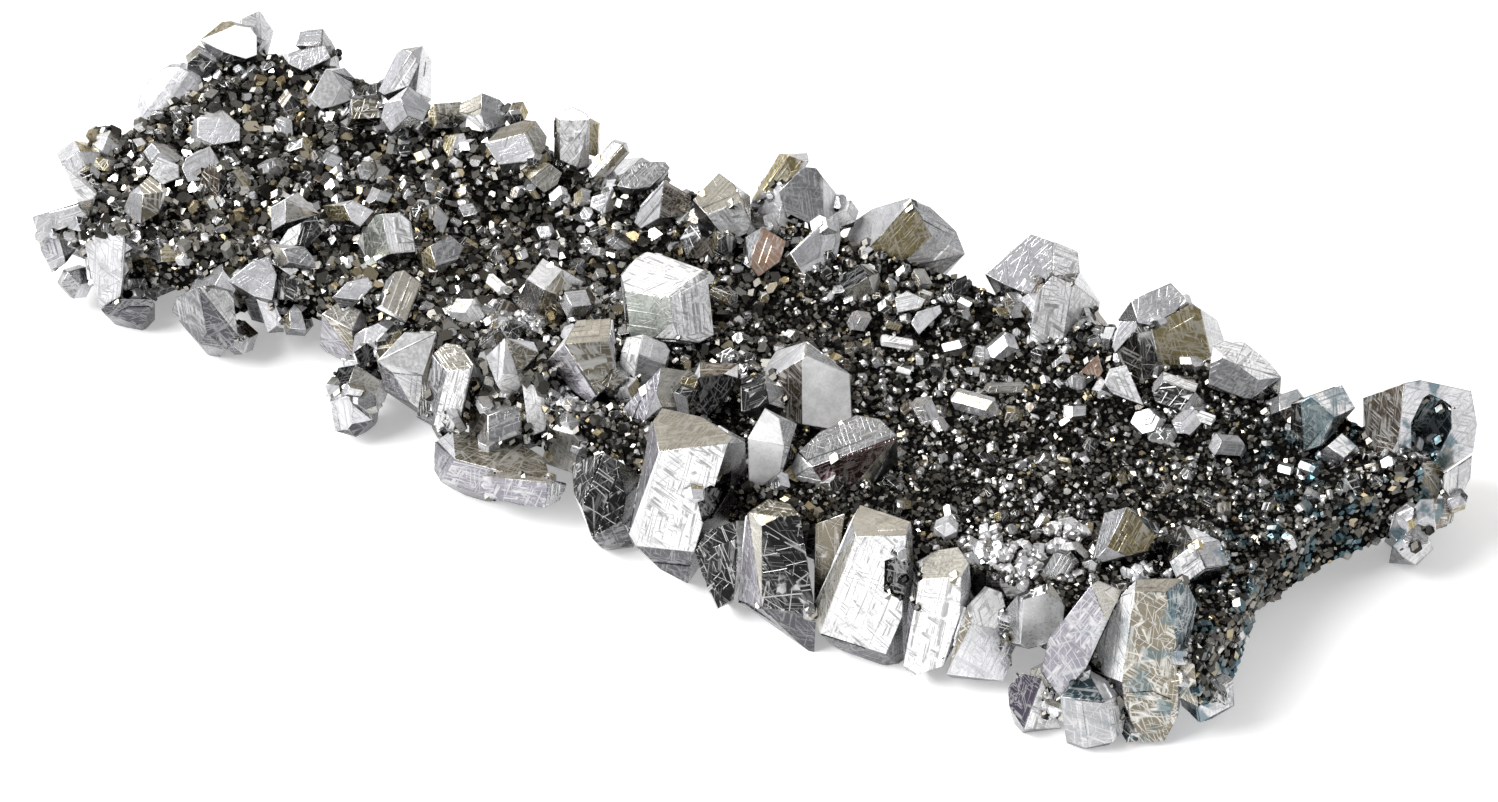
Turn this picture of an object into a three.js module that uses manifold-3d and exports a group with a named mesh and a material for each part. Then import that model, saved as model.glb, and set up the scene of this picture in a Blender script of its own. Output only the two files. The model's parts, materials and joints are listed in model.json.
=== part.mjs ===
// A cluster of niobium crystals grown together into one strip: rows of large crystals along both long
// sides and at both ends, and a shallow trough lined with small crystals between them.
// Millimetres, +Z up. The strip runs along X and its far side faces +Y. The origin is on the plane that
// the cluster rests on, under the middle of its bounding box.
import * as THREE from 'three';
import { ConvexGeometry } from 'three/addons/geometries/ConvexGeometry.js';
import { mergeVertices } from 'three/addons/utils/BufferGeometryUtils.js';
import Module from 'manifold-3d';

const wasm = await Module();
wasm.setup();

// Driving dimensions of the crust that the crystals grow from: a plate with a trough down its middle.
const troughFloor = 5.2;
const rimRise = { near: 0.6, far: 1.4 };
const crustUnderside = 1.7;
const edgeThinning = 1.3;
const crustRoughness = 0.4;
const troughFlatness = 4;
const rimHeight = 5.2;
const crustSteps = { along: 14, across: 4 };

// Crystal faces are those of the rhombic dodecahedron, so the angles between them never vary. Seen along
// a threefold axis it is a six-sided prism, and along a fourfold axis a four-sided one.
const degree = Math.PI / 180;
const sixSided = {
  sides: 6, caps: 3, capTilt: 35.264 * degree, capOffset: 30 * degree, underOffset: 90 * degree,
};
const fourSided = {
  sides: 4, caps: 4, capTilt: 45 * degree, capOffset: 45 * degree, underOffset: 45 * degree,
};
const faceUnevenness = 0.16;
// Corners nearer to each other than this are taken as one.
const sharedCornerDistance = 0.35;

// Where the large crystals stand was read off a photograph 1498 pixels wide. This is the view it was
// taken from: turned about Z, tilted down, with its aim at the photograph's middle.
const view = {
  turned: 30 * degree, down: 40 * degree, distance: 208, aimHeight: 6, centre: [749, 401], focalPixels: 4160,
};
const ahead = new THREE.Vector3(-Math.sin(view.turned), Math.cos(view.turned), 0);
const right = new THREE.Vector3(Math.cos(view.turned), Math.sin(view.turned), 0);
const sight = ahead.clone().multiplyScalar(Math.cos(view.down)).setZ(-Math.sin(view.down));
const upward = new THREE.Vector3().crossVectors(right, sight);
const viewer = sight.clone().negate();
const eye = new THREE.Vector3(0, 0, view.aimHeight).addScaledVector(viewer, view.distance);

function rayThrough(pixelX, pixelY) {
  const ray = sight.clone();
  ray.addScaledVector(right, (pixelX - view.centre[0]) / view.focalPixels);
  return ray.addScaledVector(upward, (view.centre[1] - pixelY) / view.focalPixels);
}

// The point at that pixel of the photograph whose height above the rest plane is given.
function placeSeenAt(pixelX, pixelY, height) {
  const ray = rayThrough(pixelX, pixelY);
  return eye.clone().addScaledVector(ray, (height - eye.z) / ray.z);
}

// A repeatable stream of numbers from 0 to 1.
function randomStream(seed) {
  let state = seed;
  return () => {
    state = (state + 0x6d2b79f5) | 0;
    let mixed = Math.imul(state ^ (state >>> 15), 1 | state);
    mixed = (mixed + Math.imul(mixed ^ (mixed >>> 7), 61 | mixed)) ^ mixed;
    return ((mixed ^ (mixed >>> 14)) >>> 0) / 4294967296;
  };
}

// The corners of the convex body that a list of planes encloses.
function cornersInside(planes) {
  const slack = 1e-5;
  const corners = [];
  const meet = new THREE.Matrix3();
  for (let i = 0; i < planes.length; i++) {
    for (let j = i + 1; j < planes.length; j++) {
      for (let k = j + 1; k < planes.length; k++) {
        const [a, b, c] = [planes[i], planes[j], planes[k]];
        meet.set(...a.normal.toArray(), ...b.normal.toArray(), ...c.normal.toArray());
        if (Math.abs(meet.determinant()) < 1e-6) continue;
        const corner = new THREE.Vector3(a.reach, b.reach, c.reach).applyMatrix3(meet.invert());
        const inside = planes.every((plane) => plane.normal.dot(corner) <= plane.reach + slack);
        const isNew = corners.every((other) => other.distanceTo(corner) > sharedCornerDistance);
        if (inside && isNew) corners.push(corner);
      }
    }
  }
  return corners;
}

// One crystal about the origin with its long axis along Z. Real faces grow unevenly, so each one's reach
// varies a little.
function crystalGeometry(form, width, length, random) {
  const planes = [];
  const uneven = () => 1 + faceUnevenness * (2 * random() - 1);
  for (let side = 0; side < form.sides; side++) {
    const angle = (side * 2 * Math.PI) / form.sides;
    const normal = new THREE.Vector3(Math.cos(angle), Math.sin(angle), 0);
    planes.push({ normal, reach: (width / 2) * uneven() });
  }
  for (let cap = 0; cap < form.caps; cap++) {
    const angle = (cap * 2 * Math.PI) / form.caps;
    for (const [offset, end] of [[form.capOffset, 1], [form.underOffset, -1]]) {
      const outward = Math.sin(form.capTilt);
      const normal = new THREE.Vector3(
        outward * Math.cos(angle + offset),
        outward * Math.sin(angle + offset),
        end * Math.cos(form.capTilt),
      );
      planes.push({ normal, reach: (length / 2) * Math.cos(form.capTilt) * uneven() });
    }
  }
  return new ConvexGeometry(cornersInside(planes));
}

// A closed three.js geometry as a solid that can be joined and cut.
function solidOf(geometry) {
  const bare = geometry.index ? geometry.toNonIndexed() : geometry.clone();
  const positionOnly = new THREE.BufferGeometry();
  positionOnly.setAttribute('position', bare.getAttribute('position'));
  const merged = mergeVertices(positionOnly, 1e-4);
  return new wasm.Manifold(
    new wasm.Mesh({
      numProp: 3,
      vertProperties: new Float32Array(merged.attributes.position.array),
      triVerts: new Uint32Array(merged.index.array),
    }),
  );
}

// Turns a crystal so that its long axis leans clockwise from upright as the photograph shows it and tips
// towards the viewer, with a side face to the viewer before it is turned about that axis.
function towardsViewer(lean, tip, turn) {
  const axis = new THREE.Vector3();
  axis.addScaledVector(right, Math.sin(lean * degree) * Math.cos(tip * degree));
  axis.addScaledVector(upward, Math.cos(lean * degree) * Math.cos(tip * degree));
  axis.addScaledVector(viewer, Math.sin(tip * degree));
  const front = viewer.clone().addScaledVector(axis, -viewer.dot(axis)).normalize();
  const side = new THREE.Vector3().crossVectors(axis, front);
  const basis = new THREE.Matrix4().makeBasis(front, side, axis);
  return basis.multiply(new THREE.Matrix4().makeRotationZ(turn * degree));
}

function placedCrystal(form, [pixelX, pixelY, height, width, length, lean, tip, turn], seed) {
  const geometry = crystalGeometry(form, width, length, randomStream(seed));
  geometry.applyMatrix4(towardsViewer(lean, tip, turn));
  const place = placeSeenAt(pixelX, pixelY, height);
  return solidOf(geometry.translate(place.x, place.y, place.z));
}

// Each row is a crystal: the pixel of its middle, the height of its middle, its width, its length, its
// lean, its tip towards the viewer and its turn about its own axis.
const farSixSided = [
  [202, 62, 6.6, 1.3, 2.0, -60, 10, 0],
  [589, 138, 7.6, 1.0, 2.2, 2, 0, 20],
  [608, 162, 7.4, 1.0, 2.8, 42, 0, 30],
  [704, 240, 6.2, 2.4, 2.8, -20, -20, 25],
  [778, 212, 6.8, 2.2, 3.6, 10, 12, 20],
  [310, 74, 5.8, 2.6, 3.4, 60, 0, 0],
  [392, 100, 6.2, 1.8, 2.8, 20, 0, 0],
  [1040, 296, 7.0, 2.8, 4.0, 20, 10, 0],
  [862, 284, 6.2, 1.7, 2.4, 60, 20, 20],
];
const farFourSided = [
  [516, 114, 8.0, 1.0, 1.6, 30, 10, 10],
  [845, 216, 7.6, 1.1, 1.8, 20, 20, 0],
  [1286, 409, 6.4, 1.5, 2.4, 20, 20, 20],
];
const nearSixSided = [
  [76, 281, 1.9, 1.5, 2.0, 30, 20, 0],
  [240, 338, 1.7, 1.4, 1.8, 20, 10, 10],
  [550, 293, 6.2, 2.5, 3.2, 25, 36, 22],
  [642, 366, 6.0, 2.1, 3.2, 10, 20, 25],
  [505, 420, 3.6, 3.0, 3.8, 70, 0, 0],
  [384, 352, 3.6, 2.6, 3.4, 10, 0, 0],
  [448, 402, 4.0, 2.8, 3.6, 10, 0, 0],
  [362, 384, 2.8, 2.4, 3.0, 20, 0, 10],
  [226, 288, 3.2, 2.6, 3.4, 30, 0, 10],
  [124, 298, 1.6, 2.2, 2.6, 0, 0, 0],
  [1058, 688, 2.2, 2.4, 3.2, 10, 0, 0],
  [766, 396, 6.4, 2.0, 2.6, 70, 30, 0],
  [1194, 556, 5.8, 2.8, 3.6, 50, 32, 0],
  [1206, 693, 2.2, 2.0, 2.6, 60, 10, 20],
];
const nearFourSided = [
  [430, 220, 5.8, 1.6, 2.2, 30, 38, 20],
  [466, 314, 5.7, 1.6, 2.3, 30, 40, 0],
  [577, 303, 6.4, 1.5, 2.2, 100, 45, 20],
  [627, 392, 5.6, 1.6, 2.2, 40, 30, 0],
  [296, 321, 2.8, 1.5, 2.0, 40, 0, 10],
  [210, 253, 4.8, 1.6, 2.6, 40, 20, 10],
];
const troughSixSided = [
  [84, 166, 4.8, 2.2, 2.8, 60, 20, 10],
  [105, 154, 4.8, 1.6, 2.8, 20, 10, 30],
  [1178, 396, 6.2, 1.7, 2.8, 110, 15, 10],
];

// Large crystals whose faces show well, read off the photograph corner by corner. The letters of a face
// stand for corners in their order. The first face is given by where it looks, as degrees right of the
// viewer and degrees up, and by the height of its first corner. Each later face turns away from an
// earlier one by its bend, about the edge that they share, which is 60 degrees between neighbouring
// faces of the rhombic dodecahedron. The depth is how far back the crystal reaches behind them.
const facedCrystals = [
  {
    height: 9.9, looks: [0, 5], depth: 4.4,
    corners: [[659, 452], [728, 443], [694, 552], [636, 546], [653, 421], [662, 408], [702, 417],
      [733, 437], [629, 534], [745, 442], [748, 496], [688, 583], [660, 569]],
    faces: [['abcd'], ['efghba', 90], ['eadi', 60], ['bjkc', 60], ['dclm', 25]],
  },
  {
    height: 8.6, looks: [5, 8], depth: 2.4,
    corners: [[748, 438], [784, 446], [777, 490], [749, 494], [765, 408], [779, 418], [797, 424],
      [790, 447]],
    faces: [['abcd'], ['aefb', 60], ['fghb', 30]],
  },
  {
    height: 6.0, looks: [5, 28], depth: 3.2,
    corners: [[604, 452], [618, 460], [626, 497], [622, 521], [592, 538], [582, 508], [572, 463],
      [574, 494], [634, 546], [602, 548], [645, 478], [640, 502]],
    faces: [['abcdef'], ['gafh', 60], ['edij', 45], ['ckld', 60]],
  },
  {
    height: 5.0, looks: [-5, 22], depth: 2.4,
    corners: [[706, 531], [736, 521], [738, 558], [734, 599], [717, 609], [704, 580], [695, 552],
      [748, 520], [748, 560]],
    faces: [['abcdefg'], ['bhic', 60]],
  },
  {
    height: 6.8, looks: [-3, 24], depth: 3.0,
    corners: [[762, 526], [779, 517], [800, 515], [806, 603], [780, 613], [762, 607], [748, 512],
      [768, 499], [790, 504], [746, 522], [738, 600], [816, 616], [814, 655], [795, 640]],
    faces: [['abcdef'], ['ghicba', 60], ['jafk', 60], ['fedlmn', 38]],
  },
  {
    height: 6.6, looks: [-10, 15], depth: 2.0,
    corners: [[815, 524], [845, 514], [838, 560], [814, 604]],
    faces: [['abcd']],
  },
  {
    height: 8.6, looks: [-6, 4], depth: 4.2,
    corners: [[856, 537], [906, 535], [902, 617], [886, 654], [820, 633], [838, 588], [852, 522],
      [860, 505], [884, 519], [911, 522], [811, 612], [838, 556], [916, 600], [904, 668], [880, 664],
      [838, 649]],
    faces: [['abcdef'], ['ghijba', 90], ['gafekl', 60], ['bmndc', 60], ['edop', 30]],
  },
  {
    height: 6.8, looks: [-4, 5], depth: 3.2,
    corners: [[920, 580], [961, 577], [960, 614], [943, 666], [912, 676], [903, 666], [921, 562],
      [938, 550], [958, 547], [969, 563], [912, 564], [912, 600], [971, 585], [968, 604], [962, 632]],
    faces: [['abcdef'], ['ghijba', 60], ['kgaflk', 60], ['bjmc', 60], ['cnod', 60]],
  },
  {
    height: 4.6, looks: [8, 6], depth: 3.0,
    corners: [[971, 624], [996, 629], [1012, 662], [1003, 681], [946, 674], [967, 606], [985, 586],
      [1002, 592], [1007, 612]],
    faces: [['abcde'], ['afghib', 40]],
  },
  {
    height: 6.4, looks: [0, 10], depth: 2.8,
    corners: [[1023, 600], [1046, 593], [1060, 599], [1065, 606], [1062, 630], [1050, 643], [1028, 649],
      [1020, 644], [1001, 615], [994, 640], [1040, 677], [1012, 664], [1050, 582], [1018, 594]],
    faces: [['abcdefgh'], ['iahj', 60], ['abmn', 60]],
  },
  {
    height: 4.2, looks: [-14, 10], depth: 3.6,
    corners: [[1021, 673], [1042, 679], [1024, 729], [1009, 706], [1008, 688], [1061, 728]],
    faces: [['abcde'], ['bfc', 45]],
  },
  {
    height: 9.6, looks: [-16, 8], depth: 3.6,
    corners: [[1091, 585], [1104, 616], [1086, 668], [1060, 697], [1041, 672], [1048, 640], [1070, 622],
      [1098, 580], [1122, 590], [1108, 620]],
    faces: [['abcdefg'], ['ahijb', 60]],
  },
  {
    height: 3.5, looks: [-6, 4], depth: 3.2,
    corners: [[1060, 697], [1105, 702], [1112, 742], [1085, 748], [1066, 740], [1086, 668], [1126, 690],
      [1130, 725]],
    faces: [['abcde'], ['afb', 60], ['bghc', 60]],
  },
  {
    height: 9.4, looks: [-2, 8], depth: 3.8,
    corners: [[1134, 592], [1166, 592], [1176, 640], [1156, 680], [1122, 682], [1086, 668], [1104, 636],
      [1121, 596], [1136, 580], [1185, 578], [1188, 590], [1196, 602], [1184, 640], [1178, 690],
      [1178, 716], [1164, 741], [1138, 741], [1124, 702]],
    faces: [['abcde'], ['hgfea', 60], ['hijba', 90], ['bklmc', 60], ['ednopqr', 10]],
  },
  {
    height: 8.4, looks: [5, 25], depth: 3.0,
    corners: [[1127, 507], [1156, 536], [1147, 551], [1126, 556], [1107, 547], [1090, 566], [1099, 538],
      [1104, 513], [1143, 513], [1161, 529]],
    faces: [['abcde'], ['hgfea', 60], ['aijb', 60]],
  },
  {
    height: 3.6, looks: [-21, 0], depth: 3.2,
    corners: [[455, 459], [500, 471], [483, 495], [441, 482], [453, 429], [521, 443], [544, 458],
      [551, 480], [434, 470], [437, 441]],
    faces: [['abcd'], ['efghba', 90], ['jeadi', 60]],
  },
  {
    height: 3.4, looks: [-21, 0], depth: 2.6,
    corners: [[483, 476], [548, 483], [545, 508], [485, 498], [495, 470], [553, 480], [566, 483],
      [560, 500]],
    faces: [['abcd'], ['aefb', 90], ['bghc', 60]],
  },
  {
    height: 7.0, looks: [0, 8], depth: 2.2,
    corners: [[522, 380], [549, 392], [546, 430], [529, 437], [546, 361], [561, 380]],
    faces: [['abcd'], ['aefb', 60]],
  },
  {
    height: 7.0, looks: [3, 6], depth: 4.0,
    corners: [[447, 372], [471, 368], [461, 418], [440, 428], [434, 425], [434, 353], [446, 343],
      [460, 345], [474, 364], [428, 402]],
    faces: [['abcde'], ['afghib', 60], ['faej', 60]],
  },
  {
    height: 7.4, looks: [25, 42], depth: 2.8,
    corners: [[501, 362], [521, 344], [534, 342], [539, 353], [519, 375], [503, 374], [496, 383],
      [486, 356], [505, 338], [523, 396], [509, 403]],
    faces: [['abcdef'], ['ihgfab', 60], ['fejk', 60]],
  },
  {
    height: 4.8, looks: [-15, 20], depth: 2.2,
    corners: [[481, 401], [513, 408], [504, 421], [476, 413], [466, 425], [497, 430]],
    faces: [['abcd'], ['dcfe', 35]],
  },
  {
    height: 5.6, looks: [10, 30], depth: 2.4,
    corners: [[584, 411], [606, 408], [620, 412], [622, 434], [606, 441], [600, 443], [583, 428]],
    faces: [['abcde'], ['aefg', 60]],
  },
  {
    height: 7.0, looks: [-32, 14], depth: 3.4,
    corners: [[548, 361], [564, 344], [580, 367], [598, 395], [590, 404], [572, 390], [608, 341],
      [617, 378], [576, 322], [611, 318]],
    faces: [['abcdef'], ['bghdc', 60], ['bijg', 45]],
  },
  {
    height: 7.9, looks: [-32, 20], depth: 3.2,
    corners: [[625, 291], [669, 298], [673, 322], [655, 338], [645, 340], [631, 337], [621, 276],
      [636, 258], [647, 252], [662, 255], [704, 270], [687, 282], [707, 277], [714, 335], [699, 343],
      [680, 340], [627, 335]],
    faces: [['abcdef'], ['ghijklba', 60], ['blkmnopc', 60], ['gafq', 30]],
  },
  {
    height: 8.0, looks: [22, 30], depth: 2.6,
    corners: [[661, 367], [687, 371], [692, 380], [684, 408], [662, 407], [656, 393], [645, 421],
      [622, 419], [619, 412], [640, 390]],
    faces: [['abcdef'], ['afghij', 60]],
  },
  {
    height: 6.8, looks: [5, 45], depth: 2.2,
    corners: [[688, 388], [700, 377], [724, 374], [738, 378], [720, 402], [707, 415], [684, 406],
      [700, 362], [738, 364]],
    faces: [['abcdefg'], ['bhidc', 40]],
  },
  {
    height: 9.4, looks: [18, 16], depth: 3.2,
    corners: [[802, 359], [807, 356], [850, 374], [852, 418], [836, 430], [802, 424], [771, 377],
      [763, 371], [776, 351], [801, 340], [806, 342], [782, 420]],
    faces: [['abcdef'], ['bck', 60], ['aglf', 60], ['ghijka', 60]],
  },
  {
    height: 6.9, looks: [14, 14], depth: 3.4,
    corners: [[812, 467], [848, 450], [880, 433], [870, 484], [838, 504], [798, 452], [820, 432],
      [856, 415], [880, 419], [897, 436], [782, 484], [790, 494], [828, 510], [898, 466]],
    faces: [['abcde'], ['afghijcb', 60], ['kaeml', 45], ['cjnd', 40]],
  },
  {
    height: 8.6, looks: [20, 12], depth: 3.0,
    corners: [[707, 215], [740, 201], [751, 222], [747, 233], [728, 242], [693, 200], [706, 186],
      [719, 173], [734, 184], [741, 198], [700, 247], [750, 196]],
    faces: [['abcde'], ['afghijb', 60], ['faek', 60], ['bjlc', 60]],
  },
  {
    height: 10.0, looks: [-8, 30], depth: 3.8,
    corners: [[788, 155], [803, 161], [797, 172], [774, 194], [762, 192], [752, 203], [754, 196],
      [779, 154], [807, 153], [809, 161]],
    faces: [['abcde'], ['ahgfe', 60], ['aijb', 60]],
  },
  {
    height: 10.0, looks: [-5, 30], depth: 3.2,
    corners: [[801, 178], [804, 167], [816, 168], [823, 178], [824, 206], [784, 211], [778, 192],
      [835, 192], [841, 212], [838, 236], [824, 232]],
    faces: [['abcdefg'], ['dhijke', 60]],
  },
  {
    height: 7.2, looks: [16, 30], depth: 2.8,
    corners: [[790, 253], [822, 222], [838, 212], [841, 238], [836, 262], [806, 279], [780, 262],
      [795, 284]],
    faces: [['abcdef'], ['aghf', 60]],
  },
  {
    height: 8.2, looks: [15, 30], depth: 2.2,
    corners: [[762, 227], [786, 241], [780, 262], [758, 277], [749, 264], [755, 248], [745, 237],
      [744, 250]],
    faces: [['abcdef'], ['afehg', 60]],
  },
  {
    height: 6.3, looks: [20, 35], depth: 1.6,
    corners: [[719, 244], [729, 240], [742, 248], [740, 270], [720, 263], [748, 258], [746, 268]],
    faces: [['abcde'], ['cfgd', 45]],
  },
  {
    height: 9.0, looks: [-20, 20], depth: 2.4,
    corners: [[664, 180], [660, 218], [641, 229], [634, 222], [640, 208], [691, 196], [690, 215],
      [668, 250]],
    faces: [['abcde'], ['afgb', 60], ['cbgh', 60]],
  },
  {
    height: 9.4, looks: [-4, 26], depth: 4.4,
    corners: [[911, 202], [932, 236], [898, 268], [881, 277], [864, 254], [909, 198], [872, 209],
      [853, 222], [842, 248], [930, 207], [956, 231], [965, 254], [948, 264], [922, 292], [868, 300],
      [846, 282]],
    faces: [['abcde'], ['afghie', 60], ['afjklb', 60], ['blmnc', 60], ['iedop', 60]],
  },
  {
    height: 6.9, looks: [0, 40], depth: 1.5,
    corners: [[895, 298], [907, 291], [926, 299], [921, 308], [897, 313]],
    faces: [['abcde']],
  },
  {
    height: 6.5, looks: [0, 40], depth: 1.5,
    corners: [[911, 323], [917, 312], [940, 305], [942, 312], [919, 335]],
    faces: [['abcde']],
  },
  {
    height: 7.2, looks: [10, 40], depth: 1.6,
    corners: [[949, 283], [966, 275], [970, 288], [960, 301], [948, 296]],
    faces: [['abcde']],
  },
  {
    height: 10.3, looks: [-12, 40], depth: 4.6,
    corners: [[1031, 234], [1053, 242], [1052, 272], [1032, 296], [1003, 284], [985, 274], [1078, 252],
      [1080, 272], [1064, 286]],
    faces: [['abcdef'], ['bghic', 60]],
  },
  {
    height: 8.9, looks: [0, 12], depth: 4.2,
    corners: [[1036, 294], [1052, 276], [1073, 284], [1062, 348], [1027, 363], [1031, 325], [1098, 304],
      [1097, 330], [1077, 364], [1078, 384], [1040, 386], [1026, 372], [1080, 272], [1100, 302]],
    faces: [['abcdef'], ['cghid', 60], ['edijkl', 40], ['cmng', 25]],
  },
  {
    height: 9.4, looks: [-10, 45], depth: 3.6,
    corners: [[1131, 301], [1147, 293], [1171, 283], [1186, 299], [1175, 312], [1150, 325], [1138, 323],
      [1118, 320]],
    faces: [['abcdefg'], ['ahg', 50]],
  },
  {
    height: 8.8, looks: [-25, 30], depth: 1.8,
    corners: [[1119, 321], [1136, 321], [1138, 327], [1115, 353], [1112, 346]],
    faces: [['abcde']],
  },
  {
    height: 9.0, looks: [25, 20], depth: 2.2,
    corners: [[1139, 326], [1150, 328], [1158, 362], [1157, 388], [1146, 400], [1142, 372], [1117, 352],
      [1122, 372], [1136, 396]],
    faces: [['abcdef'], ['aghif', 60]],
  },
  {
    height: 6.8, looks: [0, 40], depth: 1.8,
    corners: [[1104, 383], [1109, 369], [1126, 365], [1144, 406], [1113, 394]],
    faces: [['abcde']],
  },
  {
    height: 6.9, looks: [0, 40], depth: 1.5,
    corners: [[1098, 354], [1103, 371], [1095, 383], [1080, 398], [1072, 384], [1078, 374]],
    faces: [['abcdef']],
  },
  {
    height: 9.5, looks: [-2, 24], depth: 3.6,
    corners: [[1189, 305], [1200, 309], [1210, 353], [1187, 368], [1178, 373], [1160, 374], [1150, 327],
      [1158, 314], [1186, 299], [1217, 320], [1224, 340], [1222, 362], [1212, 372], [1180, 392],
      [1163, 388]],
    faces: [['abcdefg'], ['ghia', 60], ['bjklc', 60], ['fedcmno', 55]],
  },
  {
    height: 8.4, looks: [-16, 22], depth: 2.8,
    corners: [[1210, 364], [1222, 358], [1236, 364], [1258, 380], [1251, 399], [1243, 398], [1208, 384],
      [1213, 346], [1224, 341], [1245, 343], [1268, 361], [1281, 377], [1280, 392], [1262, 401]],
    faces: [['abcdefg'], ['bhijkldc', 60], ['dlmne', 60]],
  },
  {
    height: 6.2, looks: [0, 30], depth: 1.8,
    corners: [[1208, 390], [1230, 387], [1248, 404], [1238, 411], [1215, 408]],
    faces: [['abcde']],
  },
  {
    height: 8.3, looks: [-20, 22], depth: 2.8,
    corners: [[1301, 402], [1311, 396], [1330, 412], [1332, 421], [1320, 446], [1303, 452], [1342, 385],
      [1355, 408], [1334, 417], [1291, 404], [1290, 440]],
    faces: [['abcdef'], ['bghic', 60], ['ajkf', 40]],
  },
  {
    height: 6.6, looks: [0, 55], depth: 1.8,
    corners: [[1328, 446], [1342, 433], [1357, 446], [1344, 458], [1320, 452], [1324, 470], [1340, 476],
      [1364, 456], [1358, 472]],
    faces: [['abcd'], ['aefgd', 50], ['dchig', 60]],
  },
  {
    height: 9.8, looks: [22, 20], depth: 4.2,
    corners: [[1404, 383], [1420, 380], [1471, 391], [1477, 424], [1473, 452], [1442, 471], [1400, 466],
      [1398, 440], [1363, 398], [1366, 440], [1382, 468]],
    faces: [['abcdefgh'], ['ahgkji', 60]],
  },
  {
    height: 5.6, looks: [20, 15], depth: 2.2,
    corners: [[1444, 474], [1472, 455], [1470, 478], [1462, 494], [1452, 499], [1443, 488]],
    faces: [['abcdef']],
  },
  {
    height: 4.4, looks: [0, 35], depth: 3.0,
    corners: [[1408, 516], [1420, 499], [1434, 499], [1434, 512], [1415, 523], [1452, 498], [1455, 505],
      [1452, 522], [1436, 530]],
    faces: [['abcde'], ['cfghid', 55]],
  },
  {
    height: 3.0, looks: [10, 10], depth: 2.4,
    corners: [[1392, 546], [1408, 535], [1430, 540], [1433, 549], [1415, 565], [1404, 558]],
    faces: [['abcdef']],
  },
  {
    height: 4.3, looks: [-12, 30], depth: 3.6,
    corners: [[1394, 512], [1412, 506], [1430, 520], [1428, 542], [1406, 548], [1388, 534]],
    faces: [['abcdef']],
  },
  {
    height: 10.2, looks: [4, 12], depth: 4.0,
    corners: [[412, 52], [420, 62], [409, 86], [392, 92], [399, 72], [403, 49], [397, 53], [378, 91],
      [384, 95], [423, 46], [432, 61], [416, 92]],
    faces: [['abcde'], ['aedihgf', 60], ['ajklcb', 60]],
  },
  {
    height: 8.5, looks: [-25, 28], depth: 2.8,
    corners: [[401, 99], [408, 116], [391, 133], [381, 118], [385, 103], [409, 86], [431, 105], [423, 121],
      [424, 131], [414, 148]],
    faces: [['abcde'], ['afghb', 60], ['bhijc', 60]],
  },
  {
    height: 7.5, looks: [0, 42], depth: 2.0,
    corners: [[351, 99], [377, 98], [380, 118], [352, 119], [379, 128], [347, 127]],
    faces: [['abcd'], ['cefd', 60]],
  },
  {
    height: 7.9, looks: [-14, 34], depth: 2.2,
    corners: [[434, 104], [438, 122], [434, 129], [423, 120], [461, 102], [466, 120], [456, 128]],
    faces: [['abcd'], ['aefgb', 60]],
  },
  {
    height: 6.9, looks: [22, 36], depth: 2.0,
    corners: [[456, 136], [464, 133], [472, 153], [460, 160], [449, 158], [444, 135], [441, 146]],
    faces: [['abcde'], ['afge', 60]],
  },
  {
    height: 9.0, looks: [22, 30], depth: 4.2,
    corners: [[482, 93], [500, 100], [511, 112], [505, 124], [486, 131], [481, 113], [460, 104], [459, 112],
      [474, 116]],
    faces: [['abcdef'], ['aghif', 60]],
  },
  {
    height: 8.0, looks: [-8, 34], depth: 2.8,
    corners: [[485, 144], [525, 134], [538, 160], [499, 165], [500, 128], [525, 120], [530, 124],
      [536, 121], [547, 137], [545, 148], [528, 166], [506, 178]],
    faces: [['abcd'], ['aefgb', 60], ['bghijc', 60], ['ckld', 60]],
  },
  {
    height: 10.0, looks: [-8, 8], depth: 2.6,
    corners: [[560, 120], [579, 119], [578, 168], [560, 160], [555, 117], [563, 110], [573, 107],
      [587, 114], [590, 121], [589, 166], [554, 158]],
    faces: [['abcd'], ['aefghib', 50], ['bijc', 60], ['aekd', 60]],
  },
  {
    height: 7.0, looks: [5, 35], depth: 2.0,
    corners: [[529, 179], [549, 163], [562, 173], [557, 185], [544, 193], [521, 170], [524, 163],
      [536, 161]],
    faces: [['abcde'], ['afghb', 60]],
  },
  {
    height: 8.0, looks: [-10, 62], depth: 2.0,
    corners: [[617, 186], [631, 166], [640, 162], [665, 162], [670, 168], [650, 187], [634, 189]],
    faces: [['abcdefg']],
  },
  {
    height: 6.6, looks: [-15, 35], depth: 2.0,
    corners: [[592, 197], [612, 190], [606, 205], [600, 212], [590, 207], [619, 200], [620, 210],
      [605, 219]],
    faces: [['abcde'], ['bfghc', 60]],
  },
  {
    height: 8.3, looks: [12, 30], depth: 2.4,
    corners: [[241, 19], [259, 11], [262, 40], [257, 56], [240, 40], [266, 20], [274, 31], [269, 42]],
    faces: [['abcde'], ['bfghdc', 45]],
  },
  {
    height: 8.2, looks: [4, 40], depth: 2.4,
    corners: [[225, 30], [235, 25], [250, 27], [257, 36], [257, 55], [246, 59], [224, 52], [213, 39],
      [212, 60], [218, 63], [200, 40], [222, 22], [232, 21], [236, 69], [218, 68]],
    faces: [['abcdefg'], ['ahijg', 60], ['hklmba', 60], ['gfno', 60]],
  },
  {
    height: 6.9, looks: [0, 40], depth: 2.2,
    corners: [[198, 118], [226, 118], [240, 125], [240, 141], [214, 145], [197, 137], [201, 113],
      [219, 107], [187, 152], [184, 155], [196, 114]],
    faces: [['abcdef'], ['aghb', 45], ['akjif', 60]],
  },
  {
    height: 6.8, looks: [-25, 32], depth: 2.2,
    corners: [[152, 143], [160, 152], [151, 163], [143, 152], [165, 144], [182, 157], [178, 162]],
    faces: [['abcd'], ['aefgb', 60]],
  },
  {
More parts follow.
